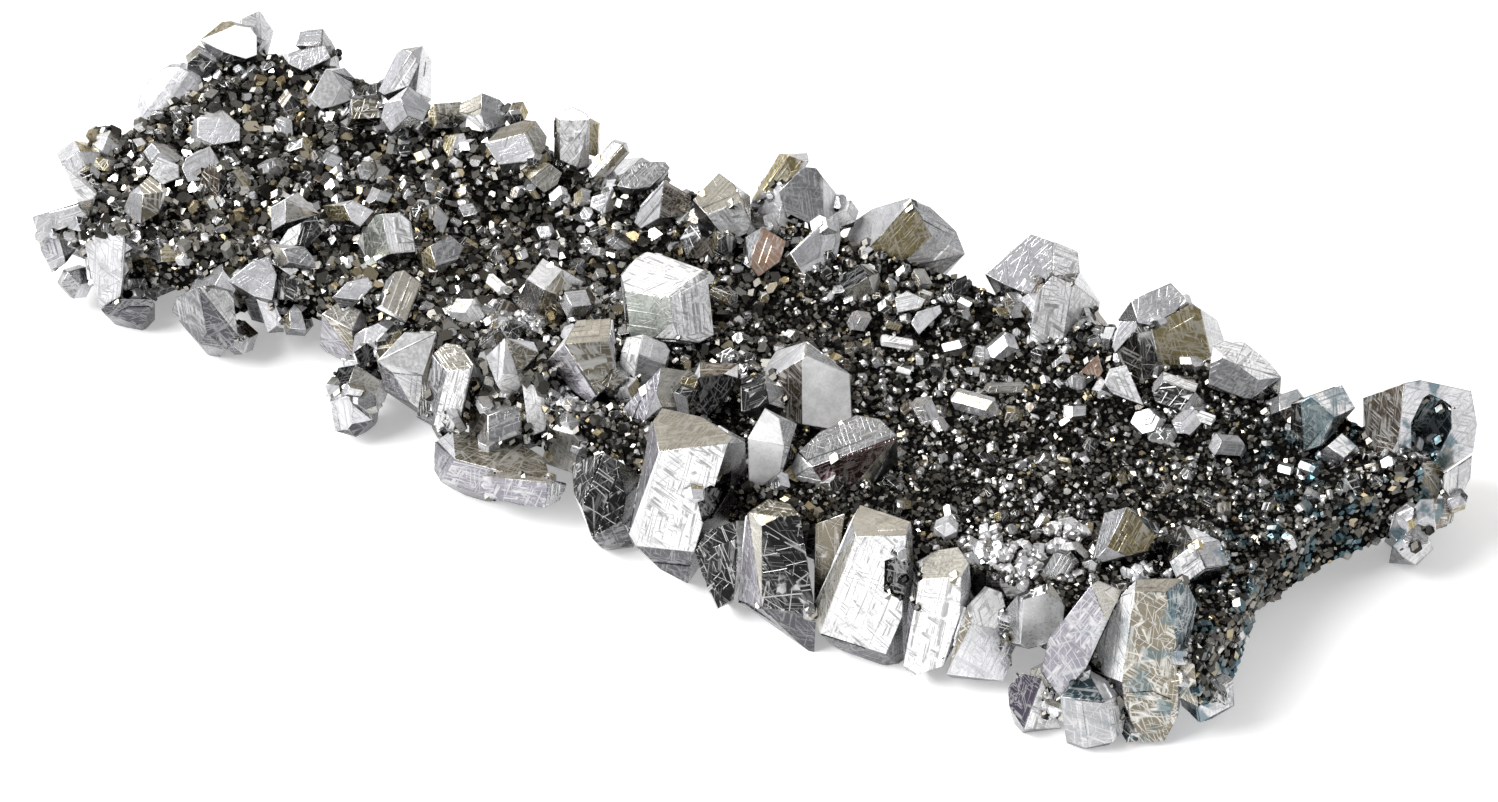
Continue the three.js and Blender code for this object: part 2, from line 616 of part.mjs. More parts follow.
    height: 6.8, looks: [5, 40], depth: 2.0,
    corners: [[158, 157], [179, 165], [180, 178], [163, 185], [149, 174]],
    faces: [['abcde']],
  },
  {
    height: 6.8, looks: [10, 42], depth: 2.2,
    corners: [[186, 158], [210, 146], [219, 163], [202, 180], [188, 182], [182, 168]],
    faces: [['abcdef']],
  },
  {
    height: 6.9, looks: [-25, 28], depth: 2.0,
    corners: [[221, 166], [219, 190], [215, 206], [205, 186], [201, 173], [210, 164], [232, 180],
      [234, 195], [222, 206]],
    faces: [['abcdef'], ['aghicb', 60]],
  },
  {
    height: 6.2, looks: [10, 40], depth: 1.6,
    corners: [[228, 174], [240, 167], [252, 185], [244, 193], [231, 188]],
    faces: [['abcde']],
  },
  {
    height: 8.6, looks: [-10, 20], depth: 3.0,
    corners: [[300, 31], [323, 29], [322, 47], [296, 46], [335, 47], [330, 52]],
    faces: [['abcd'], ['befc', 60]],
  },
  {
    height: 7.9, looks: [-5, 42], depth: 2.4,
    corners: [[287, 53], [325, 45], [331, 58], [303, 71], [289, 64], [282, 55], [283, 65], [296, 82]],
    faces: [['abcde'], ['afghde', 60]],
  },
  {
    height: 8.2, looks: [2, 40], depth: 2.2,
    corners: [[326, 69], [332, 71], [342, 87], [332, 107], [321, 109], [310, 98], [345, 68], [368, 92],
      [352, 100]],
    faces: [['abcdef'], ['bghic', 60]],
  },
  {
    height: 6.0, looks: [-20, 48], depth: 2.8,
    corners: [[33, 217], [28, 197], [36, 188], [64, 165], [68, 178], [79, 203], [89, 218], [57, 231],
      [39, 238], [72, 172], [84, 178], [97, 194], [93, 199]],
    faces: [['abcdef'], ['afghi', 50], ['ejklmf', 30]],
  },
  {
    height: 4.4, looks: [-15, 25], depth: 2.2,
    corners: [[38, 239], [57, 231], [64, 256], [48, 264], [42, 252], [73, 228], [78, 235], [76, 250],
      [66, 263], [52, 273]],
    faces: [['abcde'], ['bfghc', 60], ['dcij', 50]],
  },
  {
    height: 5.7, looks: [-12, 16], depth: 2.6,
    corners: [[84, 238], [124, 229], [125, 246], [121, 297], [100, 308], [92, 280], [86, 227], [109, 221],
      [118, 224]],
    faces: [['abcdef'], ['aghib', 60]],
  },
  {
    height: 3.2, looks: [18, 20], depth: 1.8,
    corners: [[128, 279], [146, 278], [152, 298], [129, 299], [118, 271], [121, 298]],
    faces: [['abcd'], ['aefd', 60]],
  },
  {
    height: 2.2, looks: [5, -8], depth: 2.6,
    corners: [[101, 309], [122, 299], [152, 299], [155, 304], [146, 322], [140, 326], [130, 314],
      [104, 313]],
    faces: [['abcdefgh']],
  },
  {
    height: 7.1, looks: [10, 30], depth: 2.6,
    corners: [[143, 194], [163, 193], [158, 214], [141, 224], [139, 186], [150, 176], [168, 190],
      [131, 192], [123, 210], [127, 217]],
    faces: [['abcd'], ['aefgb', 55], ['aehijd', 60]],
  },
  {
    height: 5.8, looks: [8, 30], depth: 2.1,
    corners: [[160, 244], [190, 243], [188, 260], [162, 262], [134, 230], [128, 240], [144, 256]],
    faces: [['abcd'], ['aefgd', 60]],
  },
  {
    height: 4.3, looks: [-15, 30], depth: 3.8,
    corners: [[187, 307], [204, 299], [219, 315], [207, 333], [214, 285], [233, 291], [222, 303],
      [177, 297], [199, 287], [172, 311], [184, 327], [200, 344], [226, 350], [238, 336]],
    faces: [['abcd'], ['befgc', 45], ['aihjkld', 40], ['dlmnc', 50]],
  },
  {
    height: 5.4, looks: [-10, 30], depth: 2.2,
    corners: [[228, 281], [250, 263], [268, 256], [277, 275], [272, 300], [254, 296]],
    faces: [['abcdef']],
  },
  {
    height: 4.6, looks: [0, 10], depth: 1.8,
    corners: [[254, 292], [273, 300], [283, 321], [268, 333]],
    faces: [['abcd']],
  },
  {
    height: 7.7, looks: [10, 30], depth: 2.3,
    corners: [[285, 200], [302, 208], [304, 216], [286, 223], [271, 208], [272, 232], [298, 192],
      [320, 214]],
    faces: [['abcd'], ['aefd', 60], ['aghb', 60]],
  },
  {
    height: 7.8, looks: [14, 36], depth: 2.6,
    corners: [[301, 223], [315, 216], [323, 232], [307, 248], [297, 244], [289, 229], [279, 244],
      [288, 250]],
    faces: [['abcde'], ['afghe', 60]],
  },
  {
    height: 7.6, looks: [0, 42], depth: 2.8,
    corners: [[344, 205], [353, 200], [374, 211], [360, 227], [351, 221], [323, 206], [330, 222]],
    faces: [['abcde'], ['afge', 50]],
  },
  {
    height: 7.2, looks: [0, 40], depth: 2.4,
    corners: [[282, 249], [305, 247], [314, 258], [316, 268], [289, 262], [269, 243], [280, 268]],
    faces: [['abcde'], ['afge', 55]],
  },
  {
    height: 5.4, looks: [-10, 20], depth: 2.2,
    corners: [[279, 270], [299, 276], [297, 300], [276, 300], [315, 269], [321, 279], [305, 287]],
    faces: [['abcd'], ['befgc', 60]],
  },
  {
    height: 8.4, looks: [18, 28], depth: 2.8,
    corners: [[383, 214], [400, 213], [411, 222], [416, 252], [390, 254], [386, 240], [376, 215],
      [363, 232], [366, 266], [359, 238], [353, 262], [358, 276]],
    faces: [['abcdef'], ['aghief', 60], ['hjkli', 20]],
  },
  {
    height: 6.8, looks: [10, 42], depth: 2.2,
    corners: [[430, 246], [450, 235], [464, 247], [458, 259], [436, 266], [421, 252], [423, 275],
      [433, 280]],
    faces: [['abcde'], ['afghe', 50]],
  },
  {
    height: 7.8, looks: [4, 36], depth: 2.4,
    corners: [[395, 272], [404, 270], [421, 284], [413, 305], [406, 323], [381, 305], [386, 280],
      [376, 308]],
    faces: [['abcdef'], ['aghf', 60]],
  },
  {
    height: 6.7, looks: [-5, 42], depth: 2.4,
    corners: [[333, 297], [347, 282], [368, 277], [373, 287], [360, 300]],
    faces: [['abcde']],
  },
  {
    height: 5.0, looks: [0, 48], depth: 2.8,
    corners: [[322, 314], [341, 300], [361, 311], [352, 331], [320, 345], [326, 352], [340, 347],
      [370, 318], [368, 342], [356, 358]],
    faces: [['abcd'], ['adgfe', 60], ['chijgd', 60]],
  },
  {
    height: 5.6, looks: [15, 30], depth: 2.0,
    corners: [[377, 340], [397, 321], [404, 327], [392, 372], [376, 360]],
    faces: [['abcde']],
  },
  {
    height: 6.3, looks: [0, 40], depth: 2.2,
    corners: [[405, 332], [437, 333], [423, 376], [392, 372], [410, 402], [420, 410], [377, 361],
      [386, 392]],
    faces: [['abcd'], ['dcfe', 45], ['dghe', 25]],
  },
  {
    height: 4.8, looks: [0, 30], depth: 1.6,
    corners: [[354, 352], [367, 343], [378, 352], [372, 366], [360, 368]],
    faces: [['abcde']],
  },
  {
    height: 3.8, looks: [-8, 15], depth: 1.8,
    corners: [[341, 358], [357, 362], [352, 386], [347, 377], [377, 370], [380, 383], [357, 390]],
    faces: [['abcd'], ['befgc', 40]],
  },
  {
    height: 2.7, looks: [-22, 18], depth: 2.6,
    corners: [[330, 402], [348, 396], [353, 405], [352, 424], [347, 430], [335, 431], [332, 379],
      [346, 371], [354, 388], [370, 396], [379, 408], [362, 425], [372, 420], [356, 437]],
    faces: [['abcdef'], ['aghib', 55], ['bijkldc', 60], ['dlmne', 40]],
  },
];
// How much the hidden back of such a crystal is drawn in, how steeply it falls away from the viewer, and
// how near to each other its corners come.
const hiddenTaper = 0.3;
const hiddenFall = 0.5;
const hiddenSpacing = 1.5;
const firstLetter = 'a'.charCodeAt(0);

// The direction that looks so many degrees right of the viewer and up.
function lookingTo(rightward, up) {
  const flat = ahead.clone().multiplyScalar(-Math.cos(rightward * degree));
  flat.addScaledVector(right, Math.sin(rightward * degree));
  return flat.multiplyScalar(Math.cos(up * degree)).setZ(Math.sin(up * degree));
}

// The point of a plane that shows at that pixel.
function placeOnPlane(pixelX, pixelY, plane) {
  const ray = rayThrough(pixelX, pixelY);
  return eye.clone().addScaledVector(ray, (plane.reach - plane.normal.dot(eye)) / plane.normal.dot(ray));
}

function middleOf(points) {
  return points.reduce((sum, point) => sum.add(point), new THREE.Vector3()).divideScalar(points.length);
}

// The plane that meets another face in their shared edge and turns away from it there.
function bentPlane(face, places, sharedCorners, bend) {
  const [start, end] = sharedCorners.map((corner) => places.get(corner));
  const outward = new THREE.Vector3().crossVectors(end.clone().sub(start), face.normal).normalize();
  const middle = middleOf(face.corners.map((corner) => places.get(corner)));
  if (outward.dot(middle.sub(start)) > 0) outward.negate();
  const normal = face.normal.clone().multiplyScalar(Math.cos(bend * degree));
  normal.addScaledVector(outward, Math.sin(bend * degree));
  return { normal, reach: normal.dot(start) };
}

function facedCrystal({ height, looks, depth, corners, faces }) {
  const places = new Map();
  const placed = [];
  for (const [letters, bend] of faces) {
    const face = { corners: [...letters].map((letter) => letter.charCodeAt(0) - firstLetter) };
    if (placed.length === 0) {
      face.normal = lookingTo(...looks);
      face.reach = face.normal.dot(placeSeenAt(...corners[0], height));
    } else {
      const sharedWith = (other) => face.corners.filter((corner) => other.corners.includes(corner));
      const neighbour = placed.find((other) => sharedWith(other).length > 1);
      Object.assign(face, bentPlane(neighbour, places, sharedWith(neighbour), bend));
    }
    for (const corner of face.corners) {
      if (!places.has(corner)) places.set(corner, placeOnPlane(...corners[corner], face));
    }
    placed.push(face);
  }
  const seen = [...places.values()];
  const middle = middleOf(seen);
  const hidden = [];
  for (const corner of seen) {
    const place = corner.clone().lerp(middle, hiddenTaper).addScaledVector(sight, depth);
    place.z -= hiddenFall * depth;
    if (hidden.every((other) => other.distanceTo(place) > hiddenSpacing)) hidden.push(place);
  }
  return solidOf(new ConvexGeometry([...seen, ...hidden]));
}

// Black hollows in crystals' faces, in the same form as the rows of crystals.
const hollows = [
  [716, 498, 6.6, 2.4, 3.2, 5, 50, 15],
  [899, 586, 6.2, 1.6, 3.0, 6, 24, 10],
  [1430, 428, 7.2, 2.0, 3.4, 25, 40, 30],
];

// The smooth blade at the far left corner.
const blade = { pixel: [170, 100], height: 4.8, length: 4.6, width: 3.2, thickness: 0.9, lean: 38, tip: 10 };
const bladeFacets = { around: 12, along: 8 };

function bladeSolid() {
  const geometry = new THREE.SphereGeometry(0.5, bladeFacets.around, bladeFacets.along);
  geometry.scale(blade.thickness, blade.width, blade.length);
  geometry.applyMatrix4(towardsViewer(blade.lean, blade.tip, 0));
  const place = placeSeenAt(...blade.pixel, blade.height);
  return solidOf(geometry.translate(place.x, place.y, place.z));
}

// The crust's near and far edges at stations along it, each as the photograph's pixels at the rim's height.
const crustEdges = [
  { near: [52, 210], far: [214, 64] },
  { near: [118, 244], far: [312, 90] },
  { near: [216, 258], far: [404, 128] },
  { near: [306, 274], far: [514, 170] },
  { near: [404, 322], far: [642, 206] },
  { near: [508, 388], far: [770, 248] },
  { near: [620, 444], far: [902, 288] },
  { near: [744, 496], far: [1042, 332] },
  { near: [868, 546], far: [1167, 366] },
  { near: [990, 590], far: [1291, 424] },
  { near: [1096, 628], far: [1392, 452] },
  { near: [1200, 672], far: [1428, 486] },
];
// The right end is broken out into a bay, which is deepest past its middle and narrows along the crust.
const bayDepth = 3.1;
const baySkew = 1.5;
const bayNarrowing = 6;

const crustStations = crustEdges.map(({ near, far }) => {
  return { near: placeSeenAt(...near, rimHeight), far: placeSeenAt(...far, rimHeight) };
});

// The point of the crust at those shares of the way along it and across it, from its near edge.
function crustPoint(along, across) {
  const station = along * (crustStations.length - 1);
  const before = Math.min(Math.floor(station), crustStations.length - 2);
  const share = station - before;
  const near = crustStations[before].near.clone().lerp(crustStations[before + 1].near, share);
  const far = crustStations[before].far.clone().lerp(crustStations[before + 1].far, share);
  const point = near.lerp(far, across);
  point.x -= bayDepth * along ** bayNarrowing * Math.sin(Math.PI * across ** baySkew);
  return point;
}

function crustGeometry() {
  const random = randomStream(7);
  const geometry = new THREE.BoxGeometry(1, 1, 1, crustSteps.along, crustSteps.across, 1);
  geometry.deleteAttribute('normal');
  geometry.deleteAttribute('uv');
  const merged = mergeVertices(geometry);
  const position = merged.getAttribute('position');
  const jitter = () => crustRoughness * (2 * random() - 1);
  for (let i = 0; i < position.count; i++) {
    const across = position.getY(i) * 2;
    const isTop = position.getZ(i) > 0;
    const top = troughFloor + (across > 0 ? rimRise.far : rimRise.near) * across ** troughFlatness;
    const bottom = crustUnderside + edgeThinning * across ** 2;
    const point = crustPoint(position.getX(i) + 0.5, position.getY(i) + 0.5);
    position.setXYZ(i, point.x + jitter(), point.y + jitter(), (isTop ? top : bottom) + jitter());
  }
  return merged;
}

// Crystals by rule, where the photograph doesn't show them one by one.
const sixSidedShare = 0.6;

function scatteredCrystals(count, seed, place) {
  const random = randomStream(seed);
  const solids = [];
  for (let i = 0; i < count; i++) {
    const { point, width, length, axis } = place(random, (i + 0.5) / count);
    const geometry = crystalGeometry(random() < sixSidedShare ? sixSided : fourSided, width, length, random);
    geometry.rotateZ(random() * Math.PI);
    const turn = new THREE.Quaternion().setFromUnitVectors(new THREE.Vector3(0, 0, 1), axis.normalize());
    geometry.applyQuaternion(turn);
    solids.push(solidOf(geometry.translate(point.x, point.y, point.z)));
  }
  return solids;
}

// Along the far side below the large crystals, facing away from the viewer.
function farFlank(random, share) {
  const width = 2.6 + 1.6 * random();
  return {
    point: crustPoint(share, 1.0).setZ(2.4 + 2.4 * random()),
    width,
    length: width * (1.2 + 0.8 * random()),
    axis: new THREE.Vector3(random() - 0.5, 1.2 * random(), 0.8),
  };
}

// Along the near side, filling in below and between the large crystals.
function nearFlank(random, share) {
  const width = 2.2 + 1.2 * random();
  return {
    point: crustPoint(share, 0.02 + 0.06 * random()).setZ(2.6 + 1.2 * random()),
    width,
    length: width * (1.3 + 0.7 * random()),
    axis: new THREE.Vector3(random() - 0.5, -0.4 * random(), 0.9),
  };
}

// On the underside, mostly pointing down.
function underside(random, share) {
  const width = 2.2 + 1.6 * random();
  return {
    point: crustPoint(share, 0.1 + 0.8 * random()).setZ(1.2 + 0.8 * random()),
    width,
    length: width * (1.1 + 0.5 * random()),
    axis: new THREE.Vector3(random() - 0.5, random() - 0.5, -0.9),
  };
}

function clusterSolid() {
  const solids = [solidOf(crustGeometry()), bladeSolid()];
  const tables = [
    [sixSided, farSixSided],
    [fourSided, farFourSided],
    [sixSided, nearSixSided],
    [fourSided, nearFourSided],
    [sixSided, troughSixSided],
  ];
  let seed = 100;
  for (const [form, rows] of tables) {
    for (const row of rows) {
      solids.push(placedCrystal(form, row, seed));
      seed += 1;
    }
  }
  solids.push(...facedCrystals.map(facedCrystal));
  solids.push(...scatteredCrystals(10, 11, farFlank));
  solids.push(...scatteredCrystals(7, 14, nearFlank));
  solids.push(...scatteredCrystals(6, 12, underside));
  const cluster = solids.reduce((whole, solid) => whole.add(solid));
  const cuts = hollows.map((row, index) => placedCrystal(sixSided, row, 900 + index));
  return cuts.reduce((whole, cut) => whole.subtract(cut), cluster);
}

// Everything below the rest plane is cut away, which leaves flat contact faces under the lowest crystals.
function restOnPlane(solid) {
  const side = 200;
  const depth = 20;
  const below = new THREE.BoxGeometry(side, side, depth).translate(0, 0, -depth / 2);
  return solid.subtract(solidOf(below));
}

function geometryOf(solid) {
  const { numProp, vertProperties, triVerts } = solid.getMesh();
  const corners = new Float32Array((vertProperties.length / numProp) * 3);
  for (let i = 0; i < corners.length / 3; i++) {
    corners.set(vertProperties.subarray(i * numProp, i * numProp + 3), i * 3);
  }
  const indexed = new THREE.BufferGeometry();
  indexed.setAttribute('position', new THREE.BufferAttribute(corners, 3));
  indexed.setIndex(new THREE.BufferAttribute(triVerts, 1));
  return indexed;
}

const geometry = geometryOf(restOnPlane(clusterSolid()));
geometry.computeBoundingBox();
const middle = geometry.boundingBox.getCenter(new THREE.Vector3());
geometry.translate(-middle.x, -middle.y, 0);
geometry.computeVertexNormals();

const metal = new THREE.MeshStandardMaterial({
  color: 0xb9b9b6, roughness: 0.28, metalness: 1.0, flatShading: true,
});
const cluster = new THREE.Mesh(geometry, metal);
cluster.name = 'crystal_cluster';

const specimen = new THREE.Group();
specimen.add(cluster);
export default specimen;
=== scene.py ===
"""The looks of a cluster of niobium crystals: large bright crystals along both rims and at both ends of a
strip, and a shallow trough between them lined with small crystals. All of it is dressed on the frame."""

import itertools
import json
import math
import random

import bmesh
import bpy
from mathutils import Matrix, Vector
from mathutils.bvhtree import BVHTree
from mathutils.geometry import points_in_planes

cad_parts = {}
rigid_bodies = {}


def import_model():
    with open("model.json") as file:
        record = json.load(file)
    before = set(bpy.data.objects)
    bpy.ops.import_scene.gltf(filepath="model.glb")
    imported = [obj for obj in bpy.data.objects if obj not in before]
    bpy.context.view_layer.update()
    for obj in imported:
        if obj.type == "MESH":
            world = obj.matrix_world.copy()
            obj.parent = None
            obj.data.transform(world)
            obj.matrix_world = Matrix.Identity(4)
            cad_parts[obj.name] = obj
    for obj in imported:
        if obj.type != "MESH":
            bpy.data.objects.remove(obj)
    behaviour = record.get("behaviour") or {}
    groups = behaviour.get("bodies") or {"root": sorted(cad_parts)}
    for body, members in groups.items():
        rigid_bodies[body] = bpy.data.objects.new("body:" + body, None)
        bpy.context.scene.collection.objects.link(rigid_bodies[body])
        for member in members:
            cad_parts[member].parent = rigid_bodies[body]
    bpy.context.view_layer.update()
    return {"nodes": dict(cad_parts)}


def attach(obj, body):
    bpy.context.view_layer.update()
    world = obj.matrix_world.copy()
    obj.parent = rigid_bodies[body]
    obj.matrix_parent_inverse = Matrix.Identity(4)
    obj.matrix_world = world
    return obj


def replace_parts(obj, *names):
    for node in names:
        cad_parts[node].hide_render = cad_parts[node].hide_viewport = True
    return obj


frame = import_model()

bl_info = {
    "name": "Niobium crystal cluster",
    "version": (1, 0, 0),
    "blender": (4, 5, 0),
    "location": "3D View > Sidebar > Niobium",
    "description": "Dresses the solid of a niobium crystal cluster with its facets, growth steps and small crystals",
    "category": "Object",
}

MM = 0.001
NODE = "crystal_cluster"

# The photograph's view: turned about Z and tilted down, what it aims at, from how far, and its lens and sensor.
PHOTO_SIZE = (1498, 802)
VIEW_TURNED = math.radians(30)
VIEW_DOWN = math.radians(40)
VIEW_AIM = Vector((5.076, -4.278, 6.0)) * MM
VIEW_DISTANCE = 208 * MM
LENS = 100.0
SENSOR = 36.0

# The trough's middle line as y = first + second x, half its width, and the height of the rims above it.
TROUGH_LINE = (-1.26 * MM, -0.12)
TROUGH_HALF_WIDTH = 8.0 * MM
RIM_HEIGHT = 7.5 * MM

# The crust's top lies between these heights, and its normal rises at least this much. Its sides rise less.
CRUST_HEIGHTS = (4.3 * MM, 7.2 * MM)
CRUST_LEVEL = 0.80
UPRIGHT = 0.45
# Crust that rises more than this is the trough's bed, and faces that look down more than this are undersides,
# which take a darker gray as painted shade.
BED_LEVEL = 0.3
OVERHANG = -0.15
# Edges that bend more than this, and are longer than this, belong to crystals.
CRYSTAL_BEND = math.radians(36)
CRYSTAL_EDGE = 0.25 * MM
# Facets that bend less than this towards each other are one face of a crystal, and these are quite flat.
FACE_BEND = math.radians(11)
FLAT_BEND = math.radians(3)
# Gaps that bend more than this hold crystals of middle size, and rubble.
GAP_BEND = math.radians(25)
JUNCTION_BEND = math.radians(30)
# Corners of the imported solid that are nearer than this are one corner.
SAME_CORNER = 0.002 * MM
# What grows on the solid stays this far above the ground: crystals of middle size and the linings of the crust's
# sides, rubble, growth steps, and any corner of a crystal of middle size.
MIDDLE_CLEAR = 0.8 * MM
RUBBLE_CLEAR = 0.7 * MM
STEP_CLEAR = 0.2 * MM
CORNER_CLEAR = 0.02 * MM
# The same for the linings and for crystals in step with large ones, as a multiple of the crystal's reach.
LINING_CLEAR = 1.25
PARALLEL_CLEAR = 1.6

# A facet's finish: its colour, its roughness, how strong its growth lines are and how scratched it is.
FINISHES = {
    "silver": ((0.68, 0.68, 0.70), 0.20, 0.6, 0.35),
    "satin": ((0.74, 0.74, 0.76), 0.34, 0.5, 0.3),
    "white": ((0.95, 0.95, 0.96), 0.26, 1.0, 0.5),
    "plain": ((0.56, 0.56, 0.56), 0.36, 0.0, 0.0),
    # Painted reflection: a rough near-white that stands for a mirror-bright reflection on the face.
    "bright": ((0.97, 0.97, 0.97), 0.55, 0.0, 0.0),
    "blade": ((0.62, 0.62, 0.64), 0.36, 0.3, 0.1),
    "gray": ((0.38, 0.38, 0.39), 0.26, 0.5, 0.3),
    # Painted shade: a darker gray for the undersides, which get little light.
    "slate": ((0.085, 0.085, 0.095), 0.28, 0.3, 0.2),
    "steel": ((0.16, 0.16, 0.17), 0.28, 0.5, 0.3),
    "tan": ((0.44, 0.42, 0.375), 0.26, 0.5, 0.4),
    "cream": ((0.60, 0.57, 0.50), 0.28, 0.7, 0.2),
    "straw": ((0.34, 0.28, 0.14), 0.26, 0.6, 0.45),
    "olive": ((0.23, 0.205, 0.155), 0.26, 0.6, 0.7),
    "copper": ((0.64, 0.42, 0.31), 0.26, 0.8, 0.2),
    "brown": ((0.15, 0.122, 0.094), 0.28, 0.7, 0.3),
    "wine": ((0.14, 0.075, 0.08), 0.22, 0.6, 0.6),
    "lavender": ((0.27, 0.26, 0.295), 0.30, 0.6, 0.4),
    "purple": ((0.07, 0.06, 0.085), 0.30, 0.4, 0.3),
    "patina": ((0.055, 0.085, 0.10), 0.34, 0.6, 0.5),
    "teal": ((0.26, 0.34, 0.36), 0.24, 0.5, 0.4),
    "dark": ((0.052, 0.052, 0.052), 0.20, 0.3, 0.8),
    # Painted shade: near black for the facets in the hollows and for faces in deep shade.
    "black": ((0.015, 0.015, 0.016), 0.12, 0.3, 0.3),
    "green": ((0.48, 0.51, 0.465), 0.40, 0.5, 0.7),
    "crust": ((0.02, 0.02, 0.02), 0.5, 0.0, 0.0),
}
# How much lighter or darker than its finish a facet is, and a step on it, and how much rougher or smoother.
FACET_LIGHT = (0.88, 1.10)
STEP_LIGHT = (0.85, 1.12)
FACET_ROUGHER = (0.8, 1.2)
# How worn a crystal's edges are, from dull to bright.
EDGE_WEAR = (0.55, 1.15)
# The growth lines of each facet come from another place of one pattern, this far away at most, in millimetres.
PATTERN_SHIFT = 90
# Finishes whose faces carry no growth steps, and those whose edges carry no small crystals.
STEPLESS = ("crust", "blade", "plain", "bright", "black")
SMOOTH = ("blade", "plain", "bright")

# Teal patina: where along the cluster it begins, where it is full, how thick it gets, and its colour.
PATINA_FROM = 25 * MM
PATINA_FULL = 34 * MM
PATINA_MOST = 0.80
PATINA_COLOUR = (0.07, 0.14, 0.17, 1.0)

# Growth lines and scratches: each family's length and spacing in millimetres, its turn in degrees, its width,
# and the mottle at which it begins and is full. The last scratches are everywhere.
GROWTH_LINES = ((8.0, 0.30, 0, 0.050, 0.40, 0.54), (8.0, 0.36, 60, 0.042, 0.56, 0.44))
SCRATCHES = (
    (10.0, 0.60, 27, 0.024, 0.40, 0.52), (10.0, 0.70, -38, 0.022, 0.56, 0.44), (9.0, 1.10, 74, 0.014, -2.0, -1.0),
)
# Lines are light on dark facets and dark on light ones, and this strong.
LIGHT_LINE = (0.88, 0.88, 0.86, 1.0)
DARK_LINE = (0.17, 0.165, 0.16, 1.0)
LINE_STRENGTH = 0.88
# How dull and how bright a facet's light and dark patches are, for each size of patch.
PATCH_TONES = ((0.86, 1.06), (0.91, 1.05), (0.92, 1.06))

# Finishes whose facets can be hammered, and how deeply.
RELIEF = {"silver": 0.25, "satin": 0.3, "tan": 0.4}

# The facets whose finish stands out in the photograph, each by a pixel on it. The lighter and darker grays
# among them are partly the metal's own tone and partly painted reflection and shade.
FACETS_SEEN = {
    "white": [
        (660, 270), (675, 500), (990, 610), (865, 590), (935, 620), (535, 410), (452, 395), (690, 310), (408, 72),
        (570, 140), (725, 222), (910, 303), (1040, 330), (1120, 380), (1240, 355), (1325, 400), (1342, 445),
        (255, 30), (165, 170), (123, 285), (290, 238), (400, 230), (1193, 556), (80, 187), (1112, 640), (800, 468),
        (1045, 715), (512, 385), (1450, 430), (1080, 310), (785, 455), (812, 479), (215, 292), (1062, 272),
    ],
    "silver": [
        (217, 130), (1412, 385), (105, 265), (635, 495), (392, 75), (425, 65), (393, 115), (603, 203), (650, 200),
        (880, 220), (1030, 260), (1090, 290), (1422, 510), (190, 140), (215, 112), (148, 153), (310, 40), (50, 250),
        (58, 265), (132, 205), (277, 215), (357, 211), (830, 225), (1125, 335), (310, 58), (1155, 300), (202, 162),
        (340, 415), (355, 290), (462, 147), (510, 150), (255, 275), (270, 315),
    ],
    "gray": [
        (738, 465), (1008, 630), (1090, 720), (410, 105), (515, 170), (810, 187), (940, 225), (1125, 312),
        (1212, 330), (1335, 460), (1412, 550), (217, 50), (168, 152), (60, 222), (142, 245), (300, 258), (445, 250),
        (412, 392), (625, 315), (495, 412), (850, 430), (1355, 458), (350, 85), (645, 170), (68, 240), (1230, 380),
        (385, 292), (1105, 535), (1400, 520), (497, 115), (1460, 480), (1212, 556),
    ],
    # Undersides, painted darker as shade.
    "slate": [(670, 565), (610, 540), (795, 630), (125, 305), (215, 340), (358, 428)],
    "steel": [(185, 300), (365, 410), (437, 385)],
    "satin": [(980, 655), (795, 355), (500, 375), (612, 208), (833, 205)],
    "plain": [(415, 353), (1042, 622), (326, 90), (50, 195)],
    # Faces that mirror bright light, the reflection painted as near-white colour.
    "bright": [(240, 42), (765, 445), (772, 430), (830, 400)],
    "tan": [
        (695, 430), (1155, 586), (1100, 585), (530, 133), (545, 177), (293, 210), (340, 315), (360, 395),
        (672, 388), (832, 592), (508, 130), (868, 472),
    ],
    "cream": [
        (945, 565), (455, 355), (590, 335), (473, 103), (719, 187), (153, 185), (277, 255), (400, 295), (880, 515),
    ],
    "straw": [
        (1130, 540), (431, 115), (447, 142), (785, 170), (780, 162), (905, 240), (1180, 340), (240, 180),
        (173, 250), (428, 265),
    ],
    "olive": [
        (830, 560), (500, 450), (962, 640), (600, 380), (363, 108), (450, 112), (520, 362), (150, 205), (1145, 640),
        (785, 508),
    ],
    "copper": [(765, 250), (1092, 365)],
    "brown": [
        (787, 395), (675, 195), (1447, 510), (1372, 415), (213, 184), (765, 515), (715, 367), (480, 425),
        (705, 252),
    ],
    "wine": [(860, 460)],
    "lavender": [
        (570, 370), (1080, 640), (640, 405), (335, 335), (392, 378), (475, 475), (643, 490), (752, 600), (515, 490),
        (445, 460),
    ],
    "purple": [(1028, 690), (908, 630)],
    "teal": [(1425, 430), (1315, 440)],
    "green": [(648, 315), (375, 240)],
    "dark": [
        (603, 500), (580, 480), (718, 565), (785, 555), (705, 235), (1150, 360), (1130, 350), (1268, 388),
        (1295, 425), (363, 123), (410, 130), (557, 140), (228, 190), (288, 285), (393, 340), (1145, 520),
        (957, 285), (1040, 592), (138, 288), (692, 238),
    ],
    "patina": [(1178, 625), (1095, 697)],
    # Faces in deep shade, painted near black.
    "black": [(706, 395), (940, 262), (860, 275), (367, 353), (340, 385), (810, 545)],
    "crust": [(200, 265), (330, 290), (165, 265), (214, 240), (1290, 560), (1240, 640)],
}
# How often each finish falls on a facet that isn't listed.
FINISH_SHARES = (
    ("silver", 30), ("satin", 11), ("white", 17), ("gray", 15), ("tan", 7), ("straw", 6), ("olive", 5),
    ("dark", 6), ("brown", 3),
)

# A pixel on the smooth satin blade at the far left.
BLADE_SEEN = (166, 104)
BLADE_BEND = math.radians(28)

